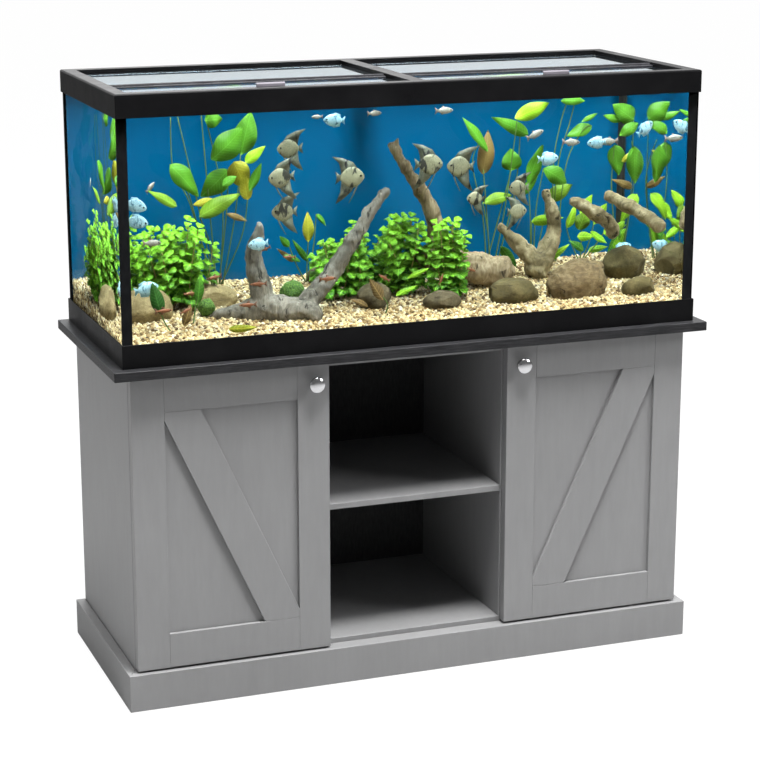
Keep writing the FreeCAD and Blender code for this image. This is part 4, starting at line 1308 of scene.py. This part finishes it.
class FishOperator(bpy.types.Operator):
    """Puts the fish in the water."""

    bl_idname = "aquarium.fish"
    bl_label = "Fish"

    def execute(self, context):
        eye = Look("fish_eye")
        rings = eye.noise(eye.place(), 300, 2)
        pupil = eye.skin(eye.mix(rings, (0.004, 0.004, 0.005), (0.03, 0.02, 0.01)),
                         eye.range(rings, 0.3, 0.7, 0.08, 0.2))
        kinds = (
            ("gourami", GOURAMIS, 0.50, 0.24, LOW_FINS,
             scale_material("pearl_blue_skin", (0.12, 0.36, 0.46), (0.50, 0.74, 0.80),
                            ((0.04, 0.15, 0.22), 190, 0.56, 0.66)),
             scale_material("pale_fin", (0.10, 0.28, 0.36), (0.34, 0.56, 0.62))),
            ("tetra", TETRAS, 0.32, 0.18, SLIM_FINS,
             scale_material("silver_skin", (0.12, 0.12, 0.10), (0.42, 0.40, 0.33), shine=0.2,
                            metal=0.3),
             scale_material("rosy_fin", (0.12, 0.07, 0.055), (0.26, 0.19, 0.15))),
            ("angelfish", ANGELS, 0.66, 0.16, TALL_FINS,
             scale_material("barred_skin", (0.12, 0.115, 0.060), (0.34, 0.32, 0.19),
                            ((0.010, 0.010, 0.008), 78, 0.54, 0.60)),
             scale_material("smoky_fin", (0.045, 0.060, 0.045), (0.17, 0.17, 0.11),
                            ((0.008, 0.008, 0.008), 70, 0.55, 0.62))),
            ("rasbora", RASBORAS, 0.21, 0.13, SLIM_FINS,
             scale_material("copper_skin", (0.10, 0.022, 0.008), (0.24, 0.085, 0.030)),
             scale_material("copper_fin", (0.07, 0.020, 0.008), (0.15, 0.065, 0.030))),
        )
        for name, places, girth, thick, fins, skin, fin in kinds:
            shape = bmesh.new()
            for place in places:
                fish_shape(shape, *place, girth, thick, fins)
            shown(f"{name}_shoal", shape, (skin, fin, pupil), "stand", None)
        return {"FINISHED"}


FLOOR_GLOW, SKY_GLOW = 1.14, 1.15  # how bright the floor and the rear sky are, white is 1
# lamps: name, place, size and share of the stage's power
LAMPS = (("key", (0.15, -1.15, 4.5), 1.3, 3.3), ("fill", (3.7, -2.6, 3.0), 1.4, 0.80),
         ("overhead", (0.1, -0.1, 3.9), 3.0, 1.8), ("side", (-4.0, -0.6, 1.6), 1.2, 0.10),
         ("rear", (0.6, 3.4, 3.0), 1.6, 0.4))


class StageOperator(bpy.types.Operator):
    """Sets the floor, the studio lights and the camera."""

    bl_idname = "aquarium.stage"
    bl_label = "Stage"

    def execute(self, context):
        settings = context.scene.stage_settings
        look = Look("pale_floor")
        cloud = look.noise(look.place(), 0.7, 2)
        paper = look.add("ShaderNodeBsdfDiffuse", {
            "Color": look.mix(cloud * 0.2, settings.floor, tinted(settings.floor, 0.985))})
        lit = look.add("ShaderNodeEmission", {"Color": (1, 1, 1, 1), "Strength": FLOOR_GLOW})
        coat = look.close(look.add("ShaderNodeMixShader",
                                   {0: look.in_sight() * 0.85, 1: paper, 2: lit}))
        shape = bmesh.new()
        bmesh.ops.create_grid(shape, x_segments=1, y_segments=1, size=40)
        mesh = baked("studio_floor", shape)
        mesh.materials.append(coat)
        placed("studio_floor", mesh)

        world = bpy.data.worlds.new("studio")
        world.use_nodes = True
        sky = Look("studio", world.node_tree)
        way = sky.add("ShaderNodeTexCoord", output="Generated")
        rear = sky.range(sky.add("ShaderNodeSeparateXYZ", {0: way}, "Y"), 0.1, 0.6)
        shine = rear * (SKY_GLOW - settings.ambient) + settings.ambient
        glow = sky.in_sight().math("MAXIMUM", shine)
        sky.tree.links.new(glow.socket, sky.tree.nodes["Background"].inputs["Strength"])
        sky.tree.nodes["Background"].inputs["Color"].default_value = (1, 1, 1, 1)
        context.scene.world = world
        for name, spot, size, share in LAMPS:
            light = bpy.data.lights.new(name, "AREA")
            light.size, light.energy = size, settings.power * share
            lamp = placed(name, light)
            lamp.location = spot
            aim = Vector((0, 0, 0.75)) - lamp.location
            lamp.rotation_euler = aim.to_track_quat("-Z", "Y").to_euler()

        eye = bpy.data.cameras.new("camera")
        eye.lens, eye.sensor_width = 101.62, 36
        eye.clip_start, eye.clip_end = 0.1, 60
        camera = placed("camera", eye)
        camera.location = (-1.55535, -4.1345, 1.70466)
        down, aside = 0.250, 0.359
        camera.rotation_euler = (math.pi / 2 - down, 0, -aside)
        context.scene.camera = camera
        context.scene.view_settings.view_transform = "Standard"
        return {"FINISHED"}


class AquariumPanel(bpy.types.Panel):
    """The sidebar tab with every step of the aquarium."""

    bl_idname = "VIEW3D_PT_aquarium"
    bl_label = "Aquarium"
    bl_space_type = "VIEW_3D"
    bl_region_type = "UI"
    bl_category = "Aquarium"

    def draw(self, context):
        for name in GROUPS:
            group = getattr(context.scene, name)
            box = self.layout.box()
            for prop in group.bl_rna.properties:
                if prop.identifier not in ("rna_type", "name"):
                    box.prop(group, prop.identifier)
        for step in STEPS:
            self.layout.operator(step.bl_idname)


GROUPS = {
    "cabinet_settings": CabinetSettings, "tank_settings": TankSettings,
    "gravel_settings": GravelSettings, "plant_settings": PlantSettings,
    "stage_settings": StageSettings,
}
STEPS = (BoardsOperator, HardwareOperator, TrimOperator, GlazingOperator, WaterOperator,
         GravelOperator, StonesOperator, DriftwoodOperator, MossOperator, BushesOperator,
         LeavesOperator, FishOperator, StageOperator)


def register():
    for part in (*GROUPS.values(), *STEPS, AquariumPanel):
        bpy.utils.register_class(part)
    for name, group in GROUPS.items():
        setattr(bpy.types.Scene, name, PointerProperty(type=group))


def unregister():
    for name in GROUPS:
        delattr(bpy.types.Scene, name)
    for part in (AquariumPanel, *reversed(STEPS), *reversed(GROUPS.values())):
        bpy.utils.unregister_class(part)


def main():
    register()
    for step in STEPS:
        family, name = step.bl_idname.split(".")
        getattr(getattr(bpy.ops, family), name)()


if __name__ == "__main__":
    main()
